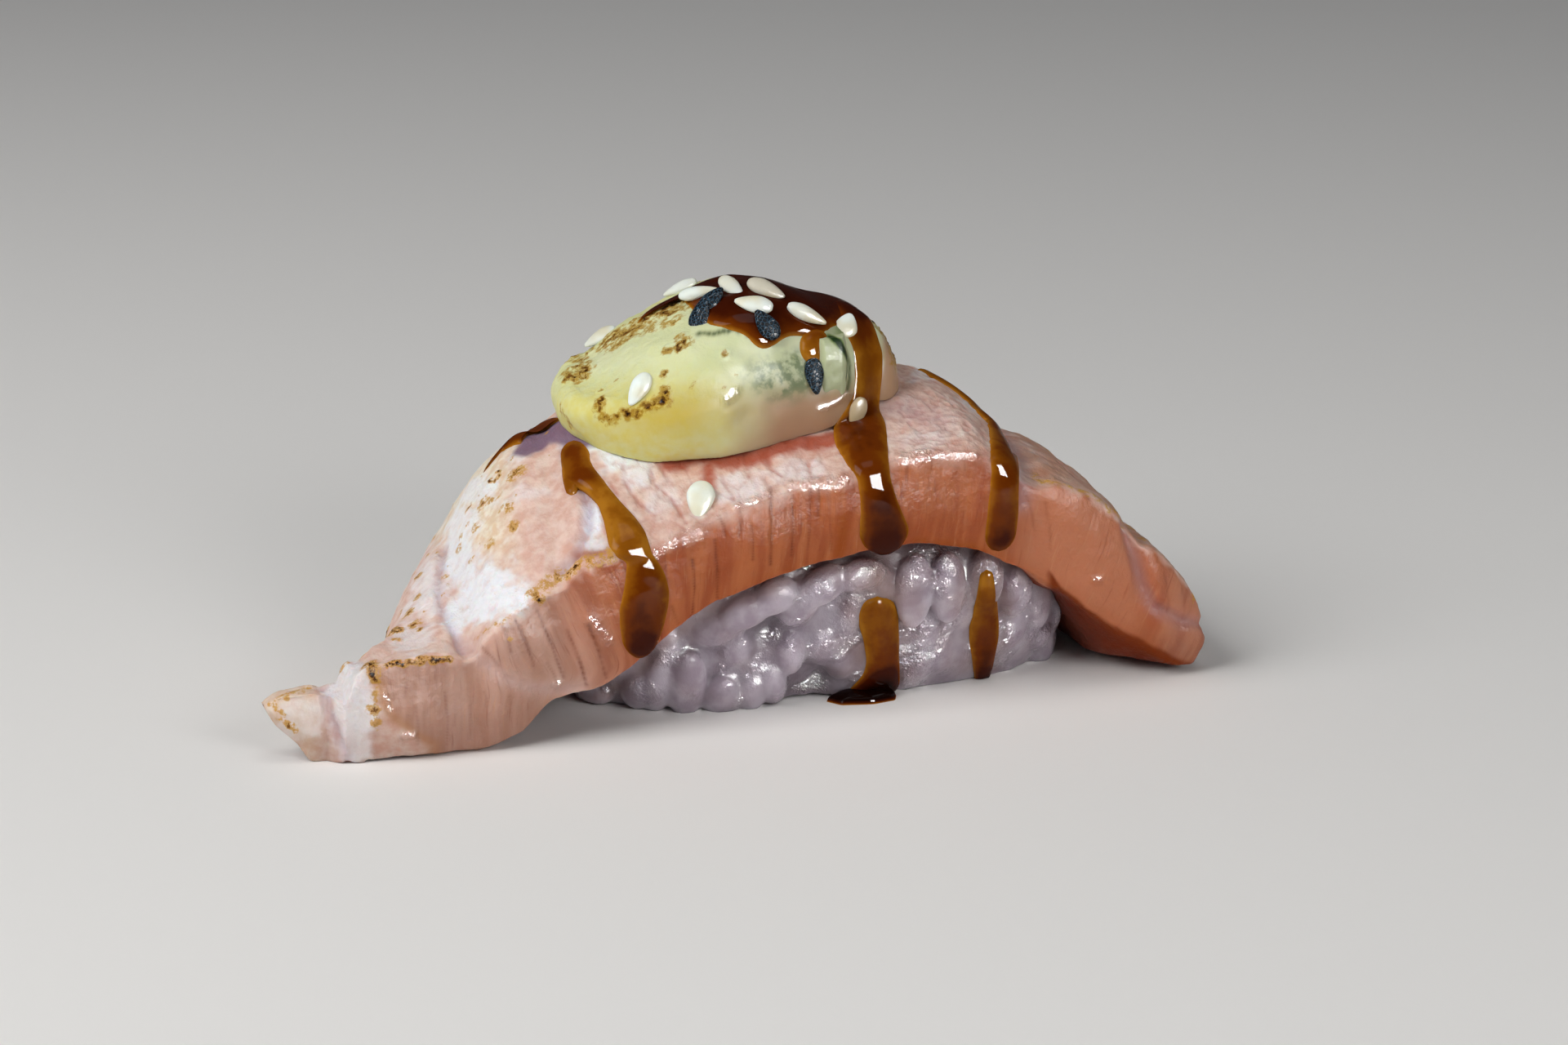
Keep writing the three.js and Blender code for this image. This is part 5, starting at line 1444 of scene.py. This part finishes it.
# %% Cream material
cream_finish, tree = new_material("torched_cream_sauce")
place = add(tree, "ShaderNodeTexCoord").outputs["Object"]
cloud = noise(tree, place, 0.22, 3)
mottling = noise(tree, place, 1.1, 4)
grit = noise(tree, place, 3.5, 3)
base = mixed(tree, remapped(tree, cloud, 0.3, 0.7), colour("#d2d9ab"), colour("#dbe0b8"))
char = speckled(tree, mark_of(tree, "scorched"), place, 1.7, 0.45, 1.45)
yellow_share = times(tree, mark_of(tree, "yellow"), remapped(tree, mottling, 0.25, 0.7, 0.95, 0.45))
green_share = times(tree, mark_of(tree, "greenish"), remapped(tree, mottling, 0.4, 0.62, 0.3, 0.85))
base = painted(tree, base, [
    (yellow_share, "#d6cc70"),
    (faint(tree, "honey", 0.75), "#c2a63c"),
    (faint(tree, "beige", 0.9), "#ae8468"),
    (green_share, "#62744e"),
    (faint(tree, "green_fleck", 0.9), "#2c4318"),
    (remapped(tree, char, 0.1, 0.4, 0, 0.85), "#a8801c"),
    (remapped(tree, char, 0.42, 0.72, 0, 0.88), "#643a0c"),
    (remapped(tree, char, 0.8, 1.05), "#1a0d05"),
])
dry_folds = times(tree, mottling, mark_of(tree, "dry"))
dry_grit = times(tree, grit, mark_of(tree, "dry"))
dullness = remapped(tree, mark_of(tree, "dry"), 0.0, 1.0, 0.32, 0.45)
wet_streaks = times(tree, mark_of(tree, "wet"), remapped(tree, mottling, 0.35, 0.6, 0.4, 1.0))
finish_material(tree, base, {
    "Subsurface Weight": 0.4, "Subsurface Radius": (1.0, 0.8, 0.4), "Subsurface Scale": 1.8 * MM,
    "IOR": 1.45, "Specular IOR Level": 0.05, "Coat Roughness": 0.06, "Coat IOR": 1.5,
    "Coat Weight": remapped(tree, wet_streaks, 0.2, 0.45, 0.0, 1.0),
}, [(dry_folds, 0.14), (dry_grit, 0.05), (times(tree, mottling, mark_of(tree, "wet")), 0.4)], dullness)
cream.data.materials.append(cream_finish)
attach(cream, "root")
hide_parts("topping")

# %% [markdown]
# ## The slice of avocado
#
# It stands on edge in the cream, and only its front shows. Avocado is pale yellow-green inside
# and dark green in the last half millimetre under its skin, so the rim draws a green arc.

# %% Avocado
AVOCADO = {"x": 9.7, "y": -1.0, "z": 29.6, "half_thickness": 1.5, "half_depth": 7.4, "half_height": 4.2}
BARE_TOP = 32.4  # where the slice leaves the cream, it is cut off at this height


def avocado_grid(rows=41, sides=110):
    along = np.linspace(-1, 1, rows)[:, None]
    angle = np.linspace(0, 2 * math.pi, sides, endpoint=False)[None]
    size = 1 - 0.2 * np.clip((np.abs(along) - 0.45) / 0.55, 0, 1) ** 2.4
    y, z = oblong(angle, AVOCADO["half_depth"] * size, AVOCADO["half_height"] * size)
    x = AVOCADO["x"] + along * AVOCADO["half_thickness"] + 0.12 * y
    grid = np.stack(np.broadcast_arrays(x, AVOCADO["y"] + y, AVOCADO["z"] + z), -1)
    rest = top_height(grid[..., 0], grid[..., 1]) + 0.15
    grid[..., 2] = np.maximum(grid[..., 2], rest)
    for spot in np.argwhere(grid[..., 2] > BARE_TOP):
        x, y, z = grid[tuple(spot)]
        cream_above = mound_tree.ray_cast((x, y, 60), (0, 0, -1))[0]
        cover = cream_above.z + 0.2 if cream_above else 0
        grid[tuple(spot)][2] = min(z, max(BARE_TOP, cover))
    rim = ramp(np.broadcast_to(along, grid.shape[:2]), -0.2, 0.85)
    return grid, rim


avocado_points, rim = avocado_grid()
flesh_bumps = 0.06 * rough_hills(avocado_points.reshape(-1, 3), 1.2, 130).reshape(rim.shape)
from_middle = avocado_points - avocado_points.mean((0, 1))
avocado_points = avocado_points + from_middle * flesh_bumps[..., None] * 0.2
points, faces = closed_skin(avocado_points)
avocado_tree = BVHTree.FromPolygons(points.tolist(), faces)
arc = nearness(points, laid(avocado_tree, GREEN_ARC, 0.2), 0.42)
rim_mark = np.maximum(arc, 0.4 * with_ends(rim) * (points[:, 1] > -6))
avocado = make_piece("avocado_slice", points, faces, {"rim": rim_mark})

# %% [markdown]
# ## The finish of avocado
#
# Ripe avocado is soft and fatty: dull, with a faint glow from inside and cloudy greens. Its rim
# runs from leaf green to nearly black within a millimetre, by one mark with two thresholds.

# %% Avocado material
avocado_finish, tree = new_material("ripe_avocado_flesh")
place = add(tree, "ShaderNodeTexCoord").outputs["Object"]
cloud = noise(tree, place, 0.5, 3)
base = mixed(tree, cloud, colour("#b9bf9a"), colour("#a8b088"))
base = painted(tree, base, [
    (remapped(tree, mark_of(tree, "rim"), 0.1, 0.5), "#75874f"),
    (remapped(tree, mark_of(tree, "rim"), 0.4, 0.75), "#1d3413"),
])
finish_material(tree, base, {
    "Subsurface Weight": 0.25, "Subsurface Radius": (0.8, 1.0, 0.4), "Subsurface Scale": 1.0 * MM,
    "Roughness": 0.45, "Specular IOR Level": 0.08, "Coat Weight": 0.02, "Coat Roughness": 0.1,
}, [(noise(tree, place, 1.6, 3), 0.06)])
avocado.data.materials.append(avocado_finish)
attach(avocado, "root")
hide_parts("avocado")

# %% [markdown]
# ## The sauce
#
# Thick soy glaze runs down wherever it was spooned, a few millimetres wide and half a millimetre
# deep, with a round bead at its end. A run is drawn on the pane as rows: a height, where the run
# begins and ends at that height, and how dark it is. Each row is carried onto the food along the
# line of sight and raised along the normal, most in its middle. The run wraps round the edge of
# the slice by itself, because the lines of sight do.

# %% Where sauce can lie
food_points, food_faces = joined([closed_skin(slice_base), mound_skin])
food_tree = BVHTree.FromPolygons(food_points.tolist(), food_faces)
rice_skin_tree = BVHTree.FromPolygons(rice_points.tolist(), rice_faces)

# %% [markdown]
# Where the food turns away from the guest, a small step on the pane is a long way on the food.
# There a row is spread along the surface instead, and `facing` blends from one to the other.

# %% A run of sauce
def fill_gaps(grid):
    """Places that missed the food take the value of the nearest place that did not."""
    seen = ~np.isnan(grid[..., 0])
    for i, j in np.argwhere(~seen):
        hits = np.argwhere(seen)
        nearest = hits[((hits - (i, j)) ** 2).sum(1).argmin()]
        grid[i, j] = grid[tuple(nearest)]
    return grid


def lay_run(tree, rows, deep, sunk=0.3, step=0.28, across=19, bead=0.45, reach=1.5, bridging=6):
    """Rings of a run drawn as rows of (height, left, right, darkness), and its depth of colour."""
    rows = soften(along_route(np.array(rows, float)[:, [1, 0, 2, 3]], step), 3, axis=0, closed=False)
    left, height, right, dark = rows.T
    travelled = np.append(0, np.hypot(np.diff((left + right) / 2), np.diff(height)).cumsum())
    half = (right - left) / 2
    to_end = np.minimum(travelled, travelled[-1] - travelled) / np.maximum(half, 0.2)
    rounding = np.sqrt(1 - (1 - np.clip(to_end, 0, 1)) ** 2)
    place = -np.cos(np.linspace(0, math.pi, across))
    eye = np.array(EYE)
    x = ((left + right) / 2)[:, None] + place * np.maximum(half * rounding, 0.04)[:, None]
    ways = unit(np.stack(np.broadcast_arrays(x, PANE_Y, height[:, None]), -1) - eye)
    away, normals = np.full((len(rows), across, 1), np.nan), np.full((len(rows), across, 3), np.nan)
    for i, j in itertools.product(range(len(rows)), range(across)):
        hit = seen_at(tree, x[i, j], height[i], near_miss=reach)
        if hit:
            away[i, j], normals[i, j] = (hit[0] - eye).dot(ways[i, j]), hit[1]
    away, normals = fill_gaps(away), fill_gaps(normals)
    for axis, times_over in ((0, bridging), (1, bridging // 3)):
        away = soften(away, times_over, axis=axis, closed=False)
        normals = soften(normals, 3 * times_over, axis=axis, closed=False)
    ground, normals = eye + ways * away, unit(normals)
    centre, up = ground[:, across // 2], normals[:, across // 2]
    side = unit(np.cross(np.gradient(centre, axis=0), up))
    sideways = (half * rounding)[:, None] * place * np.sign(side[:, :1])
    spread = centre[:, None] + side[:, None] * sideways[..., None]
    for i, j in itertools.product(range(len(rows)), range(across)):
        spread[i, j] = tree.find_nearest(Vector(spread[i, j]))[0]
    facing = ramp(-(up * ways[:, across // 2]).sum(1), 0.25, 0.55)[:, None, None]
    ground = spread + (ground - spread) * facing
    dome = (1 - np.abs(place) ** 2.4)[None] ** 0.62
    swelling = 1 + bead * np.exp(-(((travelled[-1] - travelled) / 2.2) ** 2))
    thick = deep * dome * (np.clip(rounding, 0.1, 1) * np.clip(half / 1.3, 0.5, 1.2) * swelling)[:, None]
    upper = ground + normals * thick[..., None]
    lower = ground - normals * sunk
    thick = thick * dark[:, None]
    return np.concatenate([upper, lower[:, ::-1]], 1), np.concatenate([thick, thick[:, ::-1]], 1)

# %% [markdown]
# A pool is an outline in plan, filled with rings that shrink towards its middle and dropped onto
# the food. It is deepest in the middle and rounded at its edge.

# %% A pool of sauce
def lay_pool(tree, outline, deep, sunk, dark, rings=26, around=150):
    """Rings of a pool whose outline is given in plan, laid on the food from above."""
    outline = np.array(outline, float)
    edge = along_route(np.concatenate([outline, outline[:1]]), 0.1)
    edge = edge[np.linspace(0, len(edge) - 1, around, endpoint=False).astype(int)]
    edge = soften(edge, 6, axis=0)
    centre = edge.mean(0)
    reach = np.linspace(0.02, 1, rings)
    ground, normals = np.full((2, rings, around, 3), np.nan)
    for i, j in itertools.product(range(rings), range(around)):
        x, y = centre + (edge[j] - centre) * reach[i]
        place, normal = tree.ray_cast(Vector((x, y, 80)), Vector((0, 0, -1)))[:2]
        if place:
            ground[i, j], normals[i, j] = place, normal
    ground, normals = fill_gaps(ground), fill_gaps(normals)
    normals = unit(soften(soften(normals, 6, axis=0, closed=False), 6))
    thick = np.broadcast_to(deep * np.sqrt(1 - reach[:, None] ** 4), (rings, around))
    upper = ground + normals * thick[..., None]
    lower = ground - normals * sunk
    return np.concatenate([upper, lower[::-1]]), np.concatenate([thick, thick[::-1]]) * dark

# %% [markdown]
# Three runs cross the fish, two come down from the cream and two have reached the rice. Pools lie
# on the crown, behind the left shoulder and at the foot of the rice.

# %% Runs and pools
# each row is a height, where the run begins, where it ends and how dark it is
SALMON_RUNS = [
    [(27.1, -17.3, -15.5, 0.9), (26.3, -17.6, -15.1, 0.9), (24.8, -17.5, -14.9, 0.8),
     (23.5, -17.2, -13.9, 0.7), (22.6, -15.5, -13.3, 0.5), (21.4, -14.4, -12.4, 0.36),
     (19.9, -13.9, -11.1, 0.33), (18.4, -13.6, -10.1, 0.32), (17.2, -13.4, -9.8, 0.34),
     (16.5, -12.9, -9.6, 0.38), (16.0, -11.8, -9.2, 0.55), (14.7, -12.0, -8.5, 0.7),
     (13.0, -12.3, -8.1, 0.8), (11.8, -12.6, -8.2, 0.9), (10.1, -12.6, -8.6, 1.05),
     (8.6, -12.3, -9.2, 1.25), (7.7, -11.9, -9.7, 1.4), (7.3, -11.4, -10.3, 1.4)],
    [(25.4, -17.5, -15.8, 0.8), (23.7, -17.45, -16.0, 0.7), (22.9, -17.25, -16.2, 0.6),
     (22.2, -17.0, -16.3, 0.6)],
    [(30.9, 13.6, 15.4, 0.8), (30.0, 15.2, 17.0, 0.9), (28.2, 17.6, 19.3, 1.0), (26.4, 19.4, 21.4, 1.0),
     (24.2, 20.6, 23.2, 0.85), (21.2, 21.2, 23.8, 0.8), (17.2, 20.9, 23.8, 0.85),
     (15.2, 20.7, 23.6, 0.95), (13.9, 20.8, 23.2, 1.0)],
]
TOPPING_RUNS = [
    [(37.4, 5.2, 8.2, 1.3), (35.8, 6.7, 9.9, 1.2), (34.4, 7.9, 10.5, 0.8), (32.6, 8.5, 11.1, 0.45),
     (30.8, 8.7, 11.1, 0.42), (29.0, 8.4, 10.9, 0.48), (27.6, 7.6, 10.8, 0.8), (26.5, 6.7, 11.4, 0.9),
     (25.0, 6.7, 11.6, 0.85), (23.4, 7.7, 11.7, 0.75), (21.4, 8.9, 11.9, 0.85), (19.7, 9.2, 12.4, 0.95),
     (18.0, 9.1, 13.1, 1.0), (16.6, 9.1, 13.7, 1.1), (15.6, 9.2, 13.5, 1.2), (14.9, 9.6, 12.6, 1.2),
     (14.5, 10.2, 11.8, 1.2)],
    [(35.2, 3.4, 6.2, 0.7), (34.4, 3.6, 6.2, 0.5), (33.4, 3.6, 5.9, 0.4), (32.6, 3.9, 5.8, 0.4),
     (32.0, 4.4, 5.3, 0.4)],
]
RICE_RUNS = [
    [(10.8, 9.2, 12.3, 0.4), (10.2, 9.0, 12.5, 0.42), (9.0, 8.9, 12.7, 0.36), (7.0, 9.5, 12.8, 0.38),
     (5.0, 9.8, 12.8, 0.55), (3.7, 9.5, 12.9, 1.2), (2.6, 8.3, 12.9, 2.0), (1.6, 7.2, 13.0, 3.0),
     (0.9, 6.8, 13.0, 3.0)],
    [(12.3, 20.3, 21.5, 0.3), (11.2, 20.2, 21.6, 0.3), (10.7, 20.1, 21.7, 0.42), (9.5, 19.9, 21.9, 0.55),
     (7.2, 19.4, 22.1, 0.6), (6.0, 19.3, 22.1, 0.65), (4.0, 19.6, 21.7, 0.9), (2.6, 19.9, 21.5, 2.0),
     (1.6, 20.0, 21.7, 3.0), (1.0, 19.8, 21.9, 3.0)],
]
# the lower edge of the pool on the mound as the guest sees it, then its far edge in plan
POOL_EDGE = [
    (-7.0, 38.7), (-5.7, 37.4), (-4.3, 35.9), (-2.6, 35.6), (-1.1, 35.2), (-0.7, 34.1), (0.1, 33.5),
    (1.1, 33.7), (1.9, 34.4), (2.7, 34.9), (4.0, 34.6), (5.6, 34.0), (6.4, 34.8), (8.2, 35.2),
    (9.6, 35.0), (9.2, 36.2),
]
POOL_BACK = [
    (8.9, 0.8), (8.0, 2.5), (6.2, 3.3), (4.2, 3.0), (2.0, 3.8), (-0.6, 4.4), (-2.8, 3.8), (-4.6, 4.1),
    (-6.2, 2.8),
]
SHOULDER_EDGE = [(-18.0, 29.2), (-18.9, 28.9), (-19.9, 28.2), (-21.0, 27.2), (-22.6, 26.6)]
SHOULDER_BACK = [(-19.6, 5.4), (-17.0, 6.4), (-14.0, 5.6), (-12.6, 3.0)]
FOOT_POOL = [
    (7.6, -9.8), (8.6, -11.3), (11.4, -11.9), (13.6, -11.4), (14.2, -10.0), (13.0, -8.6), (9.4, -8.4),
]


def pool_outline(tree, edge, back):
    """An outline in plan: the edge that the guest sees, then the far one."""
    return [seen_at(tree, x, z, near_miss=3.0)[0][:2] for x, z in edge] + [np.array(spot) for spot in back]


floor_tree = BVHTree.FromPolygons([(-60, -60, 0), (60, -60, 0), (60, 60, 0), (-60, 60, 0)], [(0, 1, 2, 3)])
parts = [lay_run(food_tree, rows, 0.5) for rows in SALMON_RUNS]
parts += [lay_run(food_tree, rows, 0.55) for rows in TOPPING_RUNS]
parts += [lay_run(rice_skin_tree, rows, 0.75, sunk=1.2, bead=0.1, bridging=14) for rows in RICE_RUNS]
parts += [
    lay_pool(mound_tree, pool_outline(mound_tree, POOL_EDGE, POOL_BACK), 0.6, 0.4, dark=1.6),
    lay_pool(slice_tree, pool_outline(slice_tree, SHOULDER_EDGE, SHOULDER_BACK), 0.4, 0.5, dark=1.4),
    lay_pool(floor_tree, FOOT_POOL, 0.8, 0.0, dark=4.0),
]


sauce_points, sauce_faces = joined([closed_skin(grid) for grid, _ in parts])
sauce_thick = np.concatenate([with_ends(depth) for _, depth in parts])
sauce_points[:, 2] = np.maximum(sauce_points[:, 2], 0.0)
sauce = make_piece("brown_sauce", sauce_points, sauce_faces, {"thick": sauce_thick})

# %% [markdown]
# ## The finish of brown sauce
#
# The glaze is clear and deeply coloured, so its depth sets its colour: amber where it thins out
# at an edge, chestnut in a run and nearly black in a pool. Its surface is as smooth as glass.

# %% Sauce material
sauce_finish, tree = new_material("thick_soy_glaze")
place = add(tree, "ShaderNodeTexCoord").outputs["Object"]
swirl = noise(tree, place, 0.5, 3)
thick = add(tree, "ShaderNodeMath", {"operation": "ADD"}, {
    0: mark_of(tree, "thick"), 1: remapped(tree, swirl, 0.3, 0.7, -0.08, 0.08)}).outputs[0]
base = mixed(tree, remapped(tree, thick, 0.03, 0.24), colour("#a66c1c"), colour("#864d0c"))
base = painted(tree, base, [
    (remapped(tree, thick, 0.2, 0.46), "#632b04"),
    (remapped(tree, thick, 0.45, 0.75), "#3a1103"),
    (remapped(tree, thick, 0.8, 1.5), "#120402"),
])
finish_material(tree, base, {
    "Roughness": 0.3, "Specular IOR Level": 0.0, "IOR": 1.4, "Coat Weight": 0.28, "Coat Roughness": 0.02,
    "Coat IOR": 1.36,
}, [(noise(tree, place, 0.4, 1), 0.06)])
sauce.data.materials.append(sauce_finish)
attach(sauce, "root")

# %% [markdown]
# ## Sesame
#
# A sesame seed is a flat teardrop about 3.3 mm long. Fifteen of them are one shape repeated, so a
# tree puts them on points again. Each point is found along the guest's line of sight; where that
# line just misses the crest of the mound, the seed goes to the nearest place on it and sticks up
# over the edge, as the real ones do.

# %% Seed places
SEED_LENGTH = 3.3
SEED_WIDTH = 1.8
SEED_THICKNESS = 0.95
SUNK_SHARE = 0.32  # how much of its thickness a seed stands over the food, measured to its middle
# place on the pane, way that its point looks in degrees, length, width, how much sauce coats it
WHITE_SEEDS = [
    (-6.9, 39.4, 207, 1.0, 0.8, 0.25), (-5.3, 38.9, 2, 1.1, 0.8, 0.1), (-2.4, 39.2, -52, 0.92, 0.9, 0.3),
    (0.6, 38.8, -30, 1.1, 1.0, 0.7), (-0.5, 37.6, 168, 1.05, 1.0, 0.15),
    (4.2, 36.4, -24, 1.15, 0.85, 0.3), (7.8, 35.2, 70, 0.72, 1.2, 0.1), (-14.1, 36.0, 200, 1.0, 1.0, 0.2),
    (-10.6, 31.0, 245, 1.0, 1.05, 0.0), (8.7, 27.5, 256, 0.92, 0.95, 1.0),
    (-5.3, 20.8, 264, 1.1, 1.45, 0.0),
]
BLACK_SEEDS = [
    (-4.1, 38.3, 58, 0.85, 1.0, 0), (-5.1, 37.0, 78, 1.0, 1.15, 0), (0.6, 35.8, 124, 0.95, 1.1, 0),
    (4.9, 31.0, -84, 1.0, 1.0, 0),
]
top_points, top_faces = joined([(sauce_points, sauce_faces), closed_skin(slice_base), mound_skin])
sauce_tree = BVHTree.FromPolygons(top_points.tolist(), top_faces)
right_of_guest = np.array(Vector((math.cos(GUEST_TURN), -math.sin(GUEST_TURN), 0)))
up_of_guest = np.cross(right_of_guest, np.array(forward))


def seat(x, z, lean_degrees, length, width):
    """Place, turn and size of a seed that lies on the food where the guest sees (x, z)."""
    hit = seen_at(sauce_tree, x, z, near_miss=5.0)
    normal = unit(hit[1] + 0.12 * up_of_guest - np.array(forward))
    angle = math.radians(lean_degrees)
    along = right_of_guest * math.cos(angle) + up_of_guest * math.sin(angle)
    along = unit(along - normal * along.dot(normal))
    side = np.cross(normal, along)
    turn = Matrix([along, side, normal]).transposed().to_euler()
    return hit[0] + normal * SEED_THICKNESS * SUNK_SHARE, turn, (length, width, length)

# %% [markdown]
# One seed is a short stack of rings, blunt at one end and pointed at the other. The tree takes it
# as an object, so any other seed or crumb could go through the same tree.

# %% Seed shape and tree
def seed_mesh(rows=16, sides=18):
    """A teardrop along X: blunt at one end, pointed at the other, slightly flattened."""
    t = np.linspace(0, math.pi, rows)[:, None]
    angle = np.linspace(0, 2 * math.pi, sides, endpoint=False)[None]
    along = -np.cos(t)
    taper = np.sin(t) ** 0.85 * (1 - 0.5 * np.clip((along + 0.35) / 1.35, 0, 1) ** 1.2)
    x = along * SEED_LENGTH / 2
    y = np.cos(angle) * taper * SEED_WIDTH / 2
    z = np.sin(angle) * taper * SEED_THICKNESS / 2
    grid = np.stack(np.broadcast_arrays(x, y, z), -1)
    return make_piece("one_seed", *closed_skin(grid[1:-1]))


seed_shape = seed_mesh()
seed_tree, given, result = node_group("seeds on points", [
    ("Seed", "NodeSocketObject"), ("Finish", "NodeSocketMaterial")])
one = add(seed_tree, "GeometryNodeObjectInfo", None, {"Object": given.outputs["Seed"]})
real = copies_on_points(seed_tree, given.outputs["Geometry"], one.outputs["Geometry"])
smooth = add(seed_tree, "GeometryNodeSetShadeSmooth", None, {0: real})
finished = add(seed_tree, "GeometryNodeSetMaterial", None, {
    "Geometry": smooth.outputs[0], "Material": given.outputs["Finish"]})
seed_tree.links.new(finished.outputs[0], result.inputs[0])


def sesame(name, rows, finish):
    """All seeds of one kind as one piece."""
    places, turns, sizes = zip(*[seat(*row[:5]) for row in rows])
    loose = points_piece(name, places, turns, sizes)
    coated = loose.data.attributes.new("coated", "FLOAT", "POINT")
    coated.data.foreach_set("value", [float(row[5]) for row in rows])
    piece = run_tree(loose, seed_tree, {"Seed": seed_shape, "Finish": finish})
    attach(piece, "root")
    print(name, "points:", len(piece.data.vertices))

# %% [markdown]
# White sesame is hulled: matt ivory, a little waxy, and brown where sauce coats it. Black sesame
# keeps its hull, which has a fine net of ridges, and a blue sheen on the ridges is painted into
# its colour. The net is a Voronoi pattern three cells to a millimetre.

# %% Sesame materials
white_finish, tree = new_material("hulled_sesame")
place = add(tree, "ShaderNodeTexCoord").outputs["Object"]
tone = noise(tree, place, 0.25, 2)
base = mixed(tree, remapped(tree, tone, 0.4, 0.62), colour("#e9f2ec"), colour("#dedbc2"))
base = mixed(tree, faint(tree, "coated", 0.75), base, colour("#a5844a"))
finish_material(tree, base, {
    "Subsurface Weight": 0.3, "Subsurface Radius": (1.0, 0.9, 0.7), "Subsurface Scale": 0.6 * MM,
    "Roughness": 0.4, "Specular IOR Level": 0.15, "Coat Weight": 0.08, "Coat Roughness": 0.15,
}, [(noise(tree, place, 2.2, 3), 0.05)])
black_finish, tree = new_material("black_sesame_hull")
place = add(tree, "ShaderNodeTexCoord").outputs["Object"]
net = add(tree, "ShaderNodeTexVoronoi", {"feature": "DISTANCE_TO_EDGE"}, {
    "Vector": place, "Scale": 3.2 / MM}).outputs["Distance"]
# the ridges of the net carry a painted blue sheen
base = mixed(tree, remapped(tree, net, 0.0, 0.1), colour("#3a586c"), colour("#0e1218"))
finish_material(tree, base, {
    "Roughness": 0.4, "Specular IOR Level": 0.08, "Coat Weight": 0.02, "Coat Roughness": 0.15,
}, [(remapped(tree, net, 0.0, 0.2, 1.0, 0.0), 0.06)])
sesame("white_sesame_seeds", WHITE_SEEDS, white_finish)
sesame("black_sesame_seeds", BLACK_SEEDS, black_finish)
removed(seed_shape)

# %% [markdown]
# ## Floor and light
#
# The floor is a plain pale sheet that runs far past the food, so that no edge of it shows.

# %% Floor
FLOOR_HALF = 1.6
floor_mesh = bpy.data.meshes.new("floor")
FLOOR_CORNERS = [(-1, -1), (1, -1), (1, 1), (-1, 1)]
floor_mesh.from_pydata([(x * FLOOR_HALF, y * FLOOR_HALF, 0) for x, y in FLOOR_CORNERS], [], [(0, 1, 2, 3)])
floor = bpy.data.objects.new("floor", floor_mesh)
bpy.context.scene.collection.objects.link(floor)
floor_finish, tree = new_material("pale_matt_board")
finish_material(tree, colour("#eae8e5"), {"Roughness": 0.8, "Specular IOR Level": 0.1}, [])
floor.data.materials.append(floor_finish)
floor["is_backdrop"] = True

# %% [markdown]
# The food is lit softly: a large softbox from the left is the key, a weak one near the guest
# fills the shadows, and a weaker one hangs overhead. One more box gives nothing but reflections:
# its diffuse light is switched off, so it only sparkles on fat, sauce and wet starch.

# %% Lights
LIT_POINT = Vector((0, 0, 18))


def softbox(name, turn, rise, away, width, height, power):
    """An area light that looks at the food from `turn` degrees to the right and `rise` above."""
    light = bpy.data.lights.new(name, "AREA")
    light.shape = "RECTANGLE"
    light.size, light.size_y = width * MM, height * MM
    light.energy = power
    a, e = math.radians(turn), math.radians(rise)
    back = Vector((math.sin(a) * math.cos(e), -math.cos(a) * math.cos(e), math.sin(e)))
    lamp = bpy.data.objects.new(name, light)
    place = (LIT_POINT + back * away) * MM
    lamp.matrix_world = Matrix.Translation(place) @ (-back).to_track_quat("-Z", "Y").to_matrix().to_4x4()
    bpy.context.scene.collection.objects.link(lamp)
    return lamp


softbox("key_from_the_left", -72, 40, 650, 420, 420, 3.5)
softbox("fill_from_the_right", 20, 24, 600, 240, 160, 0.8)
softbox("overhead", 0, 80, 600, 260, 200, 0.35)
sparkle = softbox("sparkle", 20, 22, 600, 310, 250, 34.0)
sparkle.visible_diffuse = False
world = bpy.data.worlds.new("studio")
world.use_nodes = True
world.node_tree.nodes["Background"].inputs["Color"].default_value = colour("#dfe3ea")
world.node_tree.nodes["Background"].inputs["Strength"].default_value = 0.09
bpy.context.scene.world = world
bpy.context.scene.view_settings.view_transform = "Standard"

# %% [markdown]
# ## Size and table
#
# The boxes round the solids and round the dressed piece are both printed, in millimetres.
# The dressed piece may not outgrow the solids it stands for.

# %% Size and finish
dressed_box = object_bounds()
sizes = {"cad": [list(corner) for corner in cad_box], "visual": [list(corner) for corner in dressed_box]}
print("sizes:", {k: [[round(v / MM, 2) for v in c] for c in box] for k, box in sizes.items()})
